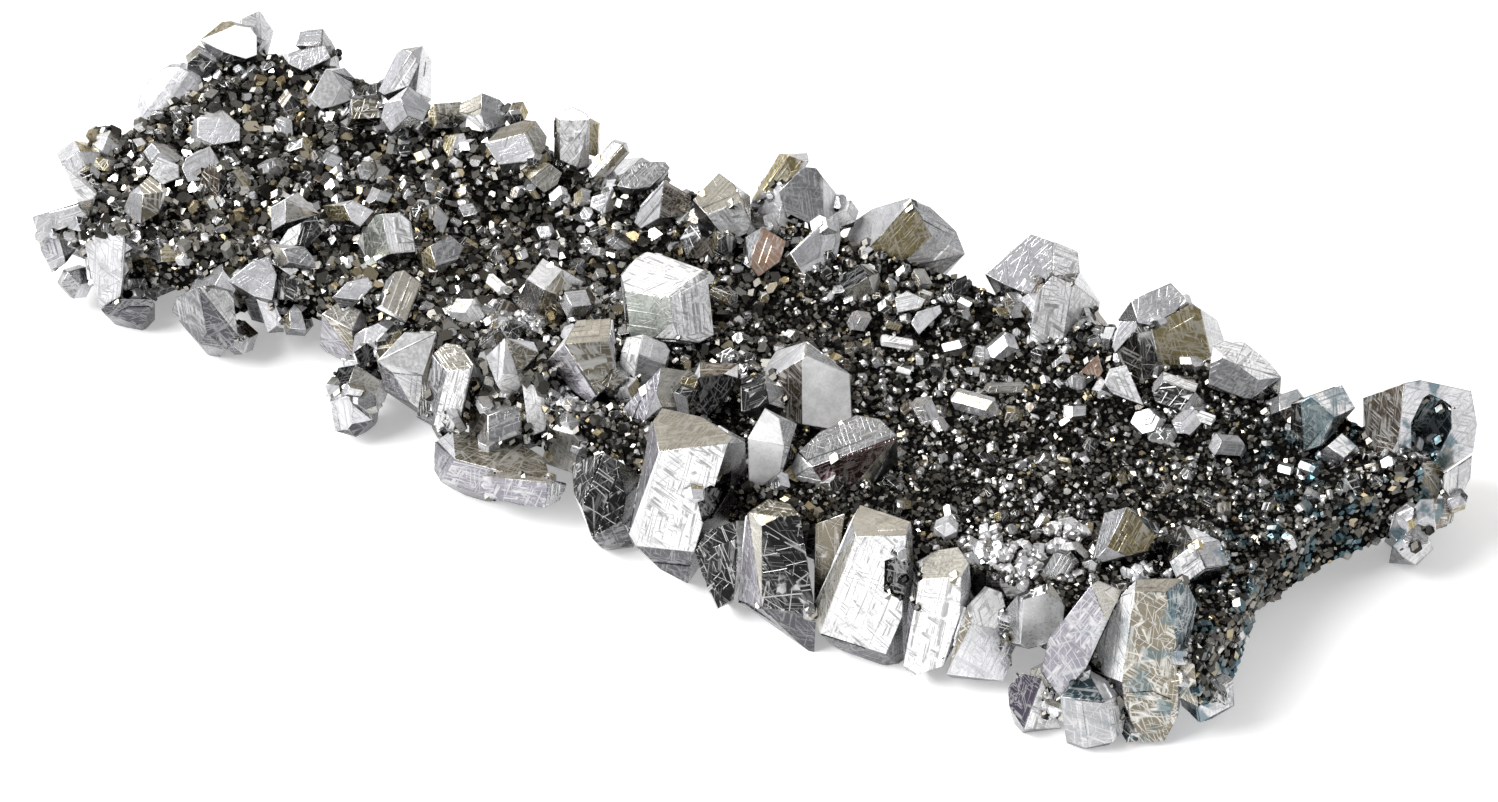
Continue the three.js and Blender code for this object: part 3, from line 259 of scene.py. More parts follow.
# Bars that lie in the trough: the pixels of their two ends, their thickness in millimetres and their finish.
BARS_SEEN = (
    # Bars in the bright finish carry a painted reflection.
    ((712, 294), (738, 305), 0.75, "bright"),
    ((984, 393), (1030, 391), 0.62, "tan"),
    ((952, 402), (1000, 415), 0.95, "silver"),
    ((880, 344), (918, 350), 0.62, "white"),
    ((896, 370), (914, 375), 0.55, "bright"),
    ((488, 280), (506, 296), 0.60, "white"),
    ((958, 300), (974, 308), 0.70, "tan"),
    ((1196, 417), (1216, 424), 0.60, "white"),
    ((1300, 466), (1320, 474), 0.70, "silver"),
    ((1278, 470), (1294, 474), 0.60, "gray"),
    ((1058, 462), (1072, 466), 0.45, "straw"),
    ((590, 236), (610, 230), 0.50, "gray"),
)

# Crystals of middle size: the pixel of each, its reach in millimetres and its finish.
CRYSTALS_SEEN = (
    ((1002, 350), 0.70, "silver"), ((982, 358), 0.60, "silver"), ((955, 350), 0.55, "gray"),
    ((860, 325), 0.60, "gray"), ((925, 415), 0.70, "gray"), ((1148, 425), 0.70, "gray"),
    ((1163, 435), 0.60, "white"), ((1187, 425), 0.70, "silver"), ((1228, 450), 0.70, "silver"),
    ((1075, 415), 0.55, "gray"), ((945, 532), 0.75, "satin"), ((995, 293), 0.60, "tan"),
    ((1018, 305), 0.60, "gray"), ((893, 325), 0.45, "straw"), ((908, 410), 0.42, "straw"),
    ((1013, 417), 0.42, "straw"), ((1120, 480), 0.40, "straw"), ((1058, 572), 0.75, "gray"),
    ((1075, 558), 0.60, "white"),
    ((285, 130), 0.60, "silver"), ((300, 150), 0.60, "gray"), ((330, 165), 0.60, "gray"),
    ((365, 175), 0.60, "gray"), ((270, 170), 0.60, "silver"), ((430, 190), 0.60, "gray"),
    ((545, 235), 0.55, "gray"), ((620, 245), 0.60, "gray"), ((470, 215), 0.60, "gray"),
)

# Patches of bright fine crystals in the trough: the pixel of each patch's middle, and its reach in pixels.
DRUSES_SEEN = (
    ((985, 548), 24), ((1020, 562), 26), ((1065, 540), 22), ((1150, 578), 20), ((515, 318), 28),
    ((560, 402), 16), ((565, 440), 14),
)
# A patch's height in pixels as a share of its width.
DRUSE_FLATTENED = 0.7

# The three hollows in the crystals' faces: the pixel of each one's middle, its radius in millimetres, and its
# finish: black is shade painted into the hollow, and patina is its own teal oxide. No facet of a hollow is larger
# than this.
HOLLOWS_SEEN = (((716, 498), 1.7, "black"), ((899, 587), 1.6, "black"), ((1436, 424), 1.7, "patina"))
HOLLOW_FACET = 6 * MM * MM
# No other crystal grows nearer to a black hollow than this.
HOLLOW_REACH = 2.0 * MM

photo_ahead = Vector((-math.sin(VIEW_TURNED), math.cos(VIEW_TURNED), 0))
photo_right = Vector((math.cos(VIEW_TURNED), math.sin(VIEW_TURNED), 0))
photo_sight = photo_ahead * math.cos(VIEW_DOWN) - Vector((0, 0, math.sin(VIEW_DOWN)))
photo_up = photo_right.cross(photo_sight)
photo_eye = VIEW_AIM - photo_sight * VIEW_DISTANCE

# What one operator makes and a later one uses: the materials, the solid, its finishes and its hollows.
made = {}


def sight_through(pixel):
    """The direction from the camera through a pixel of the photograph."""
    focal_pixels = LENS / SENSOR * PHOTO_SIZE[0]
    across = (pixel[0] - PHOTO_SIZE[0] / 2) / focal_pixels
    rise = (PHOTO_SIZE[1] / 2 - pixel[1]) / focal_pixels
    return (photo_sight + photo_right * across + photo_up * rise).normalized()


class Term:
    """A number socket of a node tree. Arithmetic on it adds Math nodes."""

    def __init__(self, graph, socket):
        self.graph = graph
        self.socket = socket

    def __add__(self, other):
        return self.graph.math("ADD", self, other)

    __radd__ = __add__

    def __sub__(self, other):
        return self.graph.math("SUBTRACT", self, other)

    def __rsub__(self, other):
        return self.graph.math("SUBTRACT", other, self)

    def __mul__(self, other):
        return self.graph.math("MULTIPLY", self, other)

    __rmul__ = __mul__

    def __pow__(self, other):
        return self.graph.math("POWER", self, other)

    def __abs__(self):
        return self.graph.math("ABSOLUTE", self)

    def ramp(self, low, high, at_low=0.0, at_high=1.0):
        """This number carried smoothly from one range to another."""
        settings = {"interpolation_type": "SMOOTHSTEP"}
        return self.graph.term("ShaderNodeMapRange", 0, settings, {0: self, 1: low, 2: high, 3: at_low, 4: at_high})


class Graph:
    """A node tree that is being built."""

    def __init__(self, tree):
        self.tree = tree

    def add(self, kind, settings=None, inputs=None):
        """A node of that kind: its settings are made first, then the values and links of its sockets."""
        node = self.tree.nodes.new(kind)
        for name, value in (settings or {}).items():
            if name == "stops":
                self.set_stops(node.color_ramp, value)
            else:
                setattr(node, name, value)
        for key, value in (inputs or {}).items():
            self.feed(node.inputs[key], value)
        return node

    def term(self, kind, output=0, settings=None, inputs=None):
        return Term(self, self.add(kind, settings, inputs).outputs[output])

    def feed(self, socket, value):
        """Links a socket to another one, or sets its value."""
        if isinstance(value, Term):
            value = value.socket
        if isinstance(value, bpy.types.NodeSocket):
            self.tree.links.new(value, socket)
        else:
            socket.default_value = value

    @staticmethod
    def set_stops(ramp, stops):
        while len(ramp.elements) < len(stops):
            ramp.elements.new(0.5)
        for element, (place, colour) in zip(ramp.elements, stops):
            element.position = place
            element.color = rgba(colour)

    def math(self, operation, first, second=0.0):
        return self.term("ShaderNodeMath", 0, {"operation": operation}, {0: first, 1: second})

    def strongest(self, first, *others):
        for other in others:
            first = self.math("MAXIMUM", first, other)
        return first

    def axis(self, vector, index):
        """One of the three numbers of a vector."""
        return self.term("ShaderNodeSeparateXYZ", index, None, {0: vector})

    def scaled(self, vector, factor):
        return self.add("ShaderNodeVectorMath", {"operation": "SCALE"}, {0: vector, "Scale": factor}).outputs[0]

    def mix_colour(self, share, first, second):
        """The first colour, turning into the second as share goes from 0 to 1."""
        return self.add("ShaderNodeMix", {"data_type": "RGBA"}, {0: share, 6: first, 7: second}).outputs[2]

    def noise(self, vector, scale, detail):
        return self.term("ShaderNodeTexNoise", 0, None, {"Vector": vector, "Scale": scale, "Detail": detail})

    def attribute(self, name, output):
        return self.add("ShaderNodeAttribute", {"attribute_name": name}).outputs[output]

    def on_object(self):
        """The place on the object, in metres."""
        return self.add("ShaderNodeTexCoord").outputs["Object"]

    def raise_surface(self, shader, height):
        """Gives a shader the relief of that height, in metres."""
        bump = self.add("ShaderNodeBump", None, {"Strength": 1.0, "Distance": 1.0, "Height": height})
        self.feed(shader.inputs["Normal"], bump.outputs[0])


def rgba(colour):
    return (*colour, 1.0)


def new_material(name):
    """A metallic material of that name, with the graph to build it with and its Principled shader."""
    material = bpy.data.materials.new(name)
    material.use_nodes = True
    shader = material.node_tree.nodes["Principled BSDF"]
    shader.inputs["Metallic"].default_value = 1.0
    return material, Graph(material.node_tree), shader


def with_patina(graph, place, colour):
    """The colour, with the thin teal oxide that lies in patches on the cluster's broad end."""
    patches = graph.noise(place, scale=0.75 / MM, detail=4.0).ramp(0.53, 0.62)
    share = graph.axis(place, 0).ramp(PATINA_FROM, PATINA_FULL) * patches * PATINA_MOST
    return graph.mix_colour(share, colour, PATINA_COLOUR)


def niobium_material(settings):
    """Facets of the large crystals: their own finish, growth lines along one edge, scratches and waviness."""
    material, graph, shader = new_material("niobium facets")
    finish = graph.attribute("facet_finish", "Vector")
    roughness, lines, scratches = (graph.axis(finish, i) for i in range(3))
    colour = graph.attribute("facet_colour", "Color")
    relief = Term(graph, graph.attribute("facet_colour", "Alpha"))
    on_facet = graph.add("ShaderNodeUVMap", {"uv_map": "facet"}).outputs[0]
    place = graph.on_object()
    wave = graph.noise(place, scale=0.55 / MM, detail=2.0)
    mottle = graph.noise(place, scale=1.7 / MM, detail=3.0)
    grain = graph.noise(place, scale=7.0 / MM, detail=4.0)

    def stretched(length, spacing, turned, detail):
        """Noise drawn out to that length and spacing, in millimetres, along a direction in the facet."""
        lie = {0: on_facet, "Rotation": (0.0, 0.0, math.radians(turned)), "Scale": (length, spacing, 1.0)}
        return graph.noise(graph.add("ShaderNodeMapping", {"vector_type": "TEXTURE"}, lie).outputs[0], 1.0, detail)

    def engraved(length, spacing, turned, width, begins, full):
        """Fine lines where a drawn-out noise passes its middle, in some parts of the facet."""
        drawn = abs(stretched(length, spacing, turned, 1.0) - 0.5).ramp(0.0, width, 1.0, 0.0)
        return drawn * mottle.ramp(begins, full)

    growth = stretched(length=3.5, spacing=0.14, turned=0, detail=3.0)
    fine_growth = stretched(length=1.3, spacing=0.045, turned=0, detail=1.0)
    rings = graph.term("ShaderNodeTexVoronoi", 0, {"distance": "CHEBYCHEV"}, {"Vector": on_facet, "Scale": 0.42})
    nested = graph.math("FRACT", rings * 10.0 + mottle * 0.8)
    nested_lines = abs(nested - 0.5).ramp(0.36, 0.48) * wave.ramp(0.50, 0.60)
    grown_lines = graph.strongest(*(engraved(*family) for family in GROWTH_LINES), nested_lines) * lines
    scratched = graph.strongest(*(engraved(*family) for family in SCRATCHES)) * scratches
    marks = graph.strongest(scratched, grown_lines * 0.9)
    dents = graph.term("ShaderNodeTexVoronoi", 0, None, {"Vector": place, "Scale": 2.3 / MM})
    graph.raise_surface(
        shader,
        wave * settings.waviness
        + growth * lines * settings.growth_line_depth
        + fine_growth * lines * (settings.growth_line_depth * 0.25)
        + grain * (settings.growth_line_depth * 0.3)
        + dents * relief * settings.dent_depth
        - marks * settings.scratch_depth,
    )
    broad, medium, fine = (noise.ramp(0.3, 0.7, *tones) for noise, tones in zip((wave, mottle, grain), PATCH_TONES))
    toned = graph.scaled(colour, broad * medium * fine)
    lightness = graph.term("ShaderNodeRGBToBW", 0, None, {0: colour})
    line_colour = graph.mix_colour(lightness.ramp(0.50, 0.60), LIGHT_LINE, DARK_LINE)
    worn = graph.mix_colour(marks * LINE_STRENGTH, toned, line_colour)
    graph.feed(shader.inputs["Base Color"], with_patina(graph, place, worn))
    graph.feed(shader.inputs["Metallic"], lightness.ramp(0.42, 0.90, 1.0, 0.25))
    graph.feed(shader.inputs["Roughness"], roughness * grain.ramp(0.3, 0.7, 0.8, 1.25) + marks * 0.15)
    return material


def crust_shade_material():
    """The crust between the crystals, painted near black with no sheen as the shade in the gaps between them."""
    material, graph, shader = new_material("niobium crust")
    grain = graph.noise(graph.on_object(), scale=3.0 / MM, detail=3.0)
    colour = graph.mix_colour(grain, (0.001, 0.001, 0.001, 1.0), (0.008, 0.0075, 0.007, 1.0))
    graph.feed(shader.inputs["Base Color"], colour)
    shader.inputs["Metallic"].default_value = 0.0
    shader.inputs["Roughness"].default_value = 0.7
    # No sheen, so the gaps between the crystals stay black: painted shade.
    shader.inputs["Specular IOR Level"].default_value = 0.0
    graph.raise_surface(shader, grain * (0.05 * MM))
    return material


def small_crystal_material():
    """Small crystals: each has a tone of its own, mostly dark gray and brown, some straw and some bright, and
    each of its faces is lighter or darker than the next."""
    material, graph, shader = new_material("small niobium crystals")
    tone = graph.attribute("tone", "Fac")
    stops = [
        (0.00, (0.010, 0.0095, 0.009)),
        (0.36, (0.066, 0.062, 0.055)),
        (0.78, (0.20, 0.195, 0.178)),
        (0.86, (0.38, 0.31, 0.18)),
        (0.89, (0.38, 0.38, 0.37)),
        (1.00, (0.80, 0.80, 0.79)),
    ]
    colour = graph.add("ShaderNodeValToRGB", {"stops": stops}, {0: tone}).outputs[0]
    place = graph.on_object()
    grain = graph.noise(place, scale=5.0 / MM, detail=2.0)
    toned = graph.scaled(colour, graph.attribute("face_tone", "Fac"))
    graph.feed(shader.inputs["Base Color"], with_patina(graph, place, toned))
    graph.feed(shader.inputs["Roughness"], grain.ramp(0.3, 0.7, 0.16, 0.30))
    graph.raise_surface(shader, grain * (0.0006 * MM))
    return material


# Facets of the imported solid.


def is_crystal_edge(edge):
    """True where two faces of one crystal meet in an edge that is long and sharp enough."""
    if len(edge.link_faces) != 2 or not edge.is_convex or edge.calc_length() < CRYSTAL_EDGE:
        return False
    return edge.calc_face_angle() > CRYSTAL_BEND


def is_gap(edge, bend):
    """Whether two faces meet in a hollow edge that bends at least that much, as where crystals touch."""
    return len(edge.link_faces) == 2 and not edge.is_convex and edge.calc_face_angle() >= bend


def outward_of(edge):
    """The direction that an edge's faces look in together."""
    return sum((face.normal for face in edge.link_faces), Vector()).normalized()


def place_on(edge, chance):
    return edge.verts[0].co.lerp(edge.verts[1].co, chance.random())


def across_crystal_edges(face):
    """The faces that a face meets in sharp edges."""
    return [other for edge in face.edges if is_crystal_edge(edge) for other in edge.link_faces if other is not face]


def is_crust_top(face):
    """Whether a facet is the crust's top: level, at the crust's height, and sharp only towards upright sides."""
    low, high = CRUST_HEIGHTS
    if face.normal.z < CRUST_LEVEL or not all(low < vert.co.z < high for vert in face.verts):
        return False
    return all(abs(other.normal.z) < UPRIGHT for other in across_crystal_edges(face))


def is_crust(face):
    """Whether a facet is the crust's top or one of its sides."""
    if is_crust_top(face):
        return True
    return abs(face.normal.z) < UPRIGHT and any(is_crust_top(other) for other in across_crystal_edges(face))


def facet_axes(face):
    """The facet's own axes: along its longest edge, across it, and its normal."""
    longest = max(face.edges, key=lambda edge: edge.calc_length())
    along = (longest.verts[1].co - longest.verts[0].co).normalized()
    along = (along - face.normal * along.dot(face.normal)).normalized()
    return along, face.normal.cross(along), face.normal.copy()


def load_facets():
    """The frame's solid as a bmesh of flat facets."""
    solid = bmesh.new()
    solid.from_mesh(frame["nodes"][NODE].data)
    bmesh.ops.remove_doubles(solid, verts=solid.verts, dist=SAME_CORNER)
    bmesh.ops.dissolve_limit(solid, angle_limit=FLAT_BEND, verts=solid.verts, edges=solid.edges)
    solid.faces.ensure_lookup_table()
    solid.normal_update()
    return solid


def sheet_around(face, bend, kept_out=()):
    """The faces joined to a face over edges that bend less than that."""
    found = {face}
    waiting = [face]
    while waiting:
        for edge in waiting.pop().edges:
            for other in edge.link_faces:
                is_near = abs(edge.calc_face_angle_signed(math.pi)) < bend
                if is_near and other not in found and other.index not in kept_out:
                    found.add(other)
                    waiting.append(other)
    return found


def seen_face(tree, pixel):
    """The face, place and normal that a pixel of the photograph shows."""
    place, normal, index, _ = tree.ray_cast(photo_eye, sight_through(pixel))
    return index, place, normal


def choose_finishes(solid):
    """A finish for each facet: those seen in the photograph first, and the rest by their usual shares."""
    chance = random.Random(5)
    names, shares = zip(*FINISH_SHARES)
    finishes = {face.index: "crust" for face in solid.faces if is_crust_top(face)}
    sheets = {}

    def finish_sheet(face, name):
        if face.index not in sheets:
            sheet = sheet_around(face, FACE_BEND, finishes)
            sheets.update((member.index, sheet) for member in sheet)
        for member in sheets[face.index]:
            finishes[member.index] = name

    tree = BVHTree.FromBMesh(solid)
    for name, pixels in FACETS_SEEN.items():
        for pixel in pixels:
            index, _, _ = seen_face(tree, pixel)
            if index is not None and finishes.get(index) != "crust":
                finish_sheet(solid.faces[index], name)
    for face in solid.faces:
        if face.index in finishes:
            continue
        if is_crust(face):
            finishes[face.index] = "crust"
        else:
            usual = chance.choices(names, shares)[0]
            # Faces that look down take the darker underside gray: painted shade.
            finish_sheet(face, "slate" if face.normal.z < OVERHANG else usual)
    index, _, _ = seen_face(tree, BLADE_SEEN)
    if index is not None:
        finishes.update((face.index, "blade") for face in sheet_around(solid.faces[index], BLADE_BEND))
    made["hollows"] = finish_hollows(solid, tree, finishes)
    return finishes, sheets


def finish_hollows(solid, tree, finishes):
    """Gives the hollows in the crystals' faces their finish, painted shade in the black ones and teal patina in the
    other, and lists the middles of the black ones.
    """
    middles = []
    for pixel, radius, name in HOLLOWS_SEEN:
        _, middle, _ = seen_face(tree, pixel)
        if middle is None:
            continue
        # The facets of a black hollow are painted near black as shade.
        if name == "black":
            middles.append(middle)
        for face in solid.faces:
            if (face.calc_center_median() - middle).length < radius * MM and face.calc_area() < HOLLOW_FACET:
                if any(not edge.is_convex for edge in face.edges):
                    finishes[face.index] = name
    return middles


def skewed(chance, least, added, rarity):
    """A random number from least up to least plus added. The higher the rarity, the fewer are large."""
    return least + added * chance.random() ** rarity


def lighter(colour, factor):
    """A colour's first three numbers times a factor, none of them past one."""
    return [min(channel * factor, 1.0) for channel in colour[:3]]


def any_shift(chance):
    """A random shift of the growth lines' pattern, in millimetres."""
    return chance.uniform(0, PATTERN_SHIFT), chance.uniform(0, PATTERN_SHIFT)


class Facets:
    """A bmesh of flat facets, each with its colour, its finish and coordinates of its own."""

    def __init__(self, mesh=None):
        self.mesh = mesh or bmesh.new()
        self.colour_layer = self.mesh.faces.layers.float_color.new("facet_colour")
        self.finish_layer = self.mesh.faces.layers.float_vector.new("facet_finish")
        self.place_layer = self.mesh.loops.layers.uv.new("facet")

    def dress(self, face, colour, finish, axes, shift):
        face[self.colour_layer] = colour
        face[self.finish_layer] = finish
        for loop in face.loops:
            place = loop.vert.co / MM
            loop[self.place_layer].uv = (place.dot(axes[0]) + shift[0], place.dot(axes[1]) + shift[1])

    def dress_as(self, faces, name, chance):
        """Gives the faces the finish of that name, a little lighter or darker than their neighbours'."""
        colour, roughness, lines, scratches = FINISHES[name]
        relief = RELIEF.get(name, 0.0)
        shade = (*lighter(colour, chance.uniform(*FACET_LIGHT)), skewed(chance, 0.0, relief, 2))
        finish = (roughness * chance.uniform(*FACET_ROUGHER), lines, scratches)
        axes = facet_axes(max(faces, key=lambda face: face.calc_area()))
        shift = any_shift(chance)
        for face in faces:
            self.dress(face, shade, finish, axes, shift)
            face.material_index = 1 if name == "crust" else 0


# A face gets a band along its edges when it is larger than this, and wider than so many bands.
SMALLEST_BANDED = 0.12 * MM * MM
BANDS_ACROSS = 5


def is_wide(face, width):
    """Whether a face has room for a band of that width all round."""
    longest = max(edge.calc_length() for edge in face.edges)
    return face.calc_area() > max(SMALLEST_BANDED, BANDS_ACROSS * width * longest)


def round_edges(facets, width):
    """Draws a narrow band inside every facet, whose smooth shading then rounds the crystals' edges. The bands are
    worn unevenly: some lighter and some darker than their facet."""
    solid = facets.mesh
    chance = random.Random(8)
    wide_enough = [face for face in solid.faces if face.material_index == 0 and is_wide(face, width)]
    bands = bmesh.ops.inset_individual(solid, faces=wide_enough, thickness=width, depth=0, use_even_offset=True)
    for band in bands["faces"]:
        colour = band[facets.colour_layer]
        band[facets.colour_layer] = (*lighter(colour, chance.uniform(*EDGE_WEAR)), colour[3])
    for vert in solid.verts:
        vert.co.z = max(vert.co.z, 0.0)
    for face in solid.faces:
        face.smooth = True
    for edge in solid.edges:
        if len(edge.link_faces) == 2:
            edge.smooth = edge.is_convex or edge.calc_face_angle() < FLAT_BEND


def new_object(name, data):
    """An object of that name and data, in the scene."""
    thing = bpy.data.objects.new(name, data)
    bpy.context.scene.collection.objects.link(thing)
    return thing


def object_from(solid, name, *materials):
    """An object of a bmesh, in those materials."""
    mesh = bpy.data.meshes.new(name)
    solid.to_mesh(mesh)
    for material in materials:
        mesh.materials.append(material)
    return new_object(name, mesh)


def finish_piece(thing):
    """Every piece rides on the one body."""
    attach(thing, "root")


# Growth steps. Their outlines lie in a facet's own plane, as lists of (u, v) in metres.

# A step's outline stays this far inside its facet, and it has no side shorter than these, before and after it is cut.
STEP_INSET = 0.03 * MM
SHORTEST_SIDE = 0.03 * MM
SHORTEST_CUT = 0.02 * MM
# The smallest step, the widest chamfer of its rim, the least height of the rim, and how deep its foot is sunk.
SMALLEST_STEP = 0.08 * MM * MM
STEP_CHAMFER = 0.03 * MM
LEAST_RIM = 0.002 * MM
STEP_SUNK = 0.02 * MM


def sides(outline):
    """The two ends of each side of an outline."""
    return zip(outline, outline[1:] + outline[:1])


def outward_across(start, end):
    """The direction that points out of an outline across its side."""
    side = end - start
    return Vector((side.y, -side.x)).normalized()


def clipped(outline, origin, direction):
    """What is left of an outline on the side of a line that its direction points away from."""
    kept = []
    for here, there in sides(outline):
        depth_here = (here - origin).dot(direction)
        depth_there = (there - origin).dot(direction)
        if depth_here <= 0:
            kept.append(here)
        if depth_here * depth_there < 0:
            kept.append(here.lerp(there, depth_here / (depth_here - depth_there)))
    return kept


def shrunk(outline, distance):
    """A convex outline, its sides moved inwards."""
    kept = list(outline)
    for here, there in sides(outline):
        if (there - here).length < 1e-7:
            continue
        outward = outward_across(here, there)
        kept = clipped(kept, here - outward * distance, outward)
        if len(kept) < 3:
            return []
    return kept


def without_short_sides(outline, shortest):
    return [point for i, point in enumerate(outline) if (point - outline[i - 1]).length > shortest]


def outline_area(outline):
    return sum(here.x * there.y - here.y * there.x for here, there in sides(outline)) / 2


def is_convex(outline):
    """Whether an outline turns left at each corner, or goes straight on."""
    ways = [there - here for here, there in sides(outline)]
    return all(first.x * second.y - first.y * second.x >= -1e-10 for first, second in sides(ways))


def add_plate(steps, outline, axes, origin, height, slope, looks):
    """One plate of that outline. Its top is tilted by slope, and its rim is chamfered."""
    along, across, normal = axes
    middle = sum(outline, Vector((0, 0))) / len(outline)
    chamfer = min(STEP_CHAMFER, height * 0.6)
    inner = shrunk(outline, chamfer)
    if len(inner) != len(outline):
        return

    def ring(points, level, sloped):
        corners = []
        for point in points:
            lift = level + slope.dot(point - middle) * sloped
            corners.append(steps.mesh.verts.new(origin + along * point.x + across * point.y + normal * lift))
        return corners

    foot = ring(outline, -STEP_SUNK, 0)
    rim = ring(outline, max(height - chamfer, LEAST_RIM), 1)
    top = ring(inner, height, 1)
    rows = [top, foot[::-1]]
    for low, high in ((foot, rim), (rim, top)):
        rows += [(a, b, d, c) for (a, b), (c, d) in zip(sides(low), sides(high))]
    colour, finish, shift = looks
    for row in rows:
        steps.dress(steps.mesh.faces.new(row), colour, finish, axes, shift)


def bands_across(outline, chance):
    """The outline cut into bands along u, as growth leaves them."""
    low = min(point.y for point in outline)
    high = max(point.y for point in outline)
    count = chance.choice((2, 3, 4, 5))
    cuts = sorted(chance.uniform(low, high) for _ in range(count))
    bands = []
    for start, end in zip([low] + cuts, cuts + [high]):
        band = clipped(outline, Vector((0, start)), Vector((0, -1)))
        band = clipped(band, Vector((0, end)), Vector((0, 1))) if len(band) > 2 else []
        if len(band) > 2 and chance.random() < 0.55:
            bands.append((band, chance.uniform(0.015, 0.05) * MM))
    return bands


def terraces_at_corner(outline, chance):
    """Copies of the outline shrunk towards one corner, one on the other."""
    corner = chance.choice(outline)
    share = chance.uniform(0.6, 0.9)
    level = 0.0
    layers = []
    for _ in range(chance.choice((1, 2, 2, 3))):
        level += chance.uniform(0.02, 0.06) * MM
        layers.append(([corner.lerp(point, share) for point in outline], level))
        share *= chance.uniform(0.55, 0.85)
    return layers


def lone_plate(outline, chance):
    """One plate with two of its sides cut parallel to the facet's."""
    plate = list(outline)
    for _ in range(2):
        start, end = chance.choice(list(sides(outline)))
        outward = outward_across(start, end)
        reach = [outward.dot(point) for point in outline]
        depth = (max(reach) - min(reach)) * chance.uniform(0.2, 0.6)
        plate = clipped(plate, start - outward * depth, outward)
        if len(plate) < 3:
            return []
    return [(plate, chance.uniform(0.03, 0.08) * MM)]


def build_steps(facets, finishes, settings):
    """Growth steps on the facets that are wide and convex enough to carry them."""
    chance = random.Random(settings.seed)
    steps = Facets()
    for face in facets.mesh.faces:
        if finishes[face.index] in STEPLESS:
            continue
        if face.calc_area() < settings.smallest_facet * MM * MM or chance.random() > settings.share:
            continue
        if face.normal.z < 0 and min(vert.co.z for vert in face.verts) < STEP_CLEAR:
            continue
        axes = facet_axes(face)
        origin = face.verts[0].co.copy()
        offsets = [vert.co - origin for vert in face.verts]
        outline = [Vector((offset.dot(axes[0]), offset.dot(axes[1]))) for offset in offsets]
        outline = without_short_sides(outline, SHORTEST_SIDE)
        if len(outline) < 3 or not is_convex(outline):
            continue
        outline = shrunk(outline, STEP_INSET)
        if len(outline) < 3:
            continue
        way = chance.choices((bands_across, terraces_at_corner, lone_plate), (4, 4, 3))[0]
        colour = face[facets.colour_layer].copy()
        finish = face[facets.finish_layer].copy()
        for plate, height in way(outline, chance):
            plate = without_short_sides(plate, SHORTEST_CUT)
            if len(plate) < 3 or outline_area(plate) < SMALLEST_STEP:
                continue
            slope = Vector((chance.gauss(0, 1), chance.gauss(0, 1))) * settings.step_slope
            shade = (*lighter(colour, chance.uniform(*STEP_LIGHT)), colour[3])
            add_plate(steps, plate, axes, origin, height, slope, (shade, finish, any_shift(chance)))
    return steps


# Forms of crystals.

CUBE_CORNERS = [Vector(corner) for corner in itertools.product((-1, 1), repeat=3)]
CUBE_FACES = [(0, 1, 3, 2), (4, 6, 7, 5), (0, 4, 5, 1), (2, 3, 7, 6), (0, 2, 6, 4), (1, 5, 7, 3)]
# A grown form's faces lie about this far out, and none of its corners are nearer to each other than the second.
FORM_REACH = 0.8
FORM_CORNERS_APART = 0.09


def face_directions():
    """The twelve directions that a niobium crystal's faces look in."""
    directions = []
    for a, b in ((0, 1), (0, 2), (1, 2)):
        for signs in itertools.product((-1, 1), repeat=2):
            normal = Vector((0, 0, 0))
            normal[a], normal[b] = signs
            directions.append(normal.normalized())
    return directions


def grown_form(chance, axis, stretch, unevenness):
    """Corners and faces of a crystal of unit reach that grew unevenly, and longer along its axis."""
    axis = Vector(axis).normalized()
    while True:
        planes = []
        for normal in face_directions():
            reach = FORM_REACH * chance.uniform(1 - unevenness, 1 + unevenness)
            if abs(normal.dot(axis)) > 0.3:
                reach *= stretch
            planes.append(Vector((*normal, -reach)))
        corners, _ = points_in_planes(planes, 1e-5, 1e-7)
        corners = [Vector(corner) for corner in corners]
        if all((a - b).length > FORM_CORNERS_APART for i, a in enumerate(corners) for b in corners[:i]):
            break
    faces = []
    for plane in planes:
        normal = plane.xyz
        row = [i for i, corner in enumerate(corners) if abs(normal.dot(corner) + plane.w) < 1e-4]
        if len(row) > 2:
            side = normal.orthogonal().normalized()
            middle = sum((corners[i] for i in row), Vector()) / len(row)
            row.sort(key=lambda i: math.atan2((corners[i] - middle).dot(normal.cross(side)),
                                              (corners[i] - middle).dot(side)))
            faces.append(row)
    return corners, faces


def grain_form(chance):
    """Corners and faces of a plain twelve-sided grain, stretched a little, with one of its faces up."""
    stretch = Vector([chance.uniform(0.75, 1.15) for _ in range(3)])
    corners = [corner * 0.55 for corner in CUBE_CORNERS]
    tips = []
    for axis, sign in itertools.product(range(3), (-1, 1)):
        tip = Vector((0, 0, 0))
        tip[axis] = sign * 1.1
        tips.append(tip)
    faces = []
    for i, first in enumerate(tips):
        for second in tips[i + 1:]:
            if abs(first.dot(second)) > 0.1:
                continue
            shared = [c for c, corner in enumerate(corners) if corner.dot(first) > 0.1 and corner.dot(second) > 0.1]
            row = [8 + i, shared[0], 8 + tips.index(second), shared[1]]
            if (first.cross(corners[shared[0]] - first)).dot(first + second) < 0:
                row.reverse()
            faces.append(row)
    upright = Matrix.Rotation(math.radians(45), 3, "X")
    return [upright @ (corner * stretch) for corner in corners + tips], faces


def chip_form(chance):
    """Corners and faces of a six-sided chip, its corners at uneven distances."""
    return [corner * chance.uniform(0.45, 0.85) for corner in CUBE_CORNERS], CUBE_FACES


def crystal_forms(forms):
    """A collection of objects of those forms for the node trees to pick from."""
    collection = bpy.data.collections.new("crystal forms")
    bpy.context.scene.collection.children.link(collection)
    for i, (corners, faces) in enumerate(forms):
        mesh = bpy.data.meshes.new(f"form_{i:02}")
        mesh.from_pydata(corners, [], faces)
        collection.objects.link(bpy.data.objects.new(mesh.name, mesh))
    return collection


def any_turn(chance):
    turned = chance.uniform(0, math.tau)
    return Matrix.Rotation(turned, 3, Vector([chance.gauss(0, 1) for _ in range(3)]).normalized())


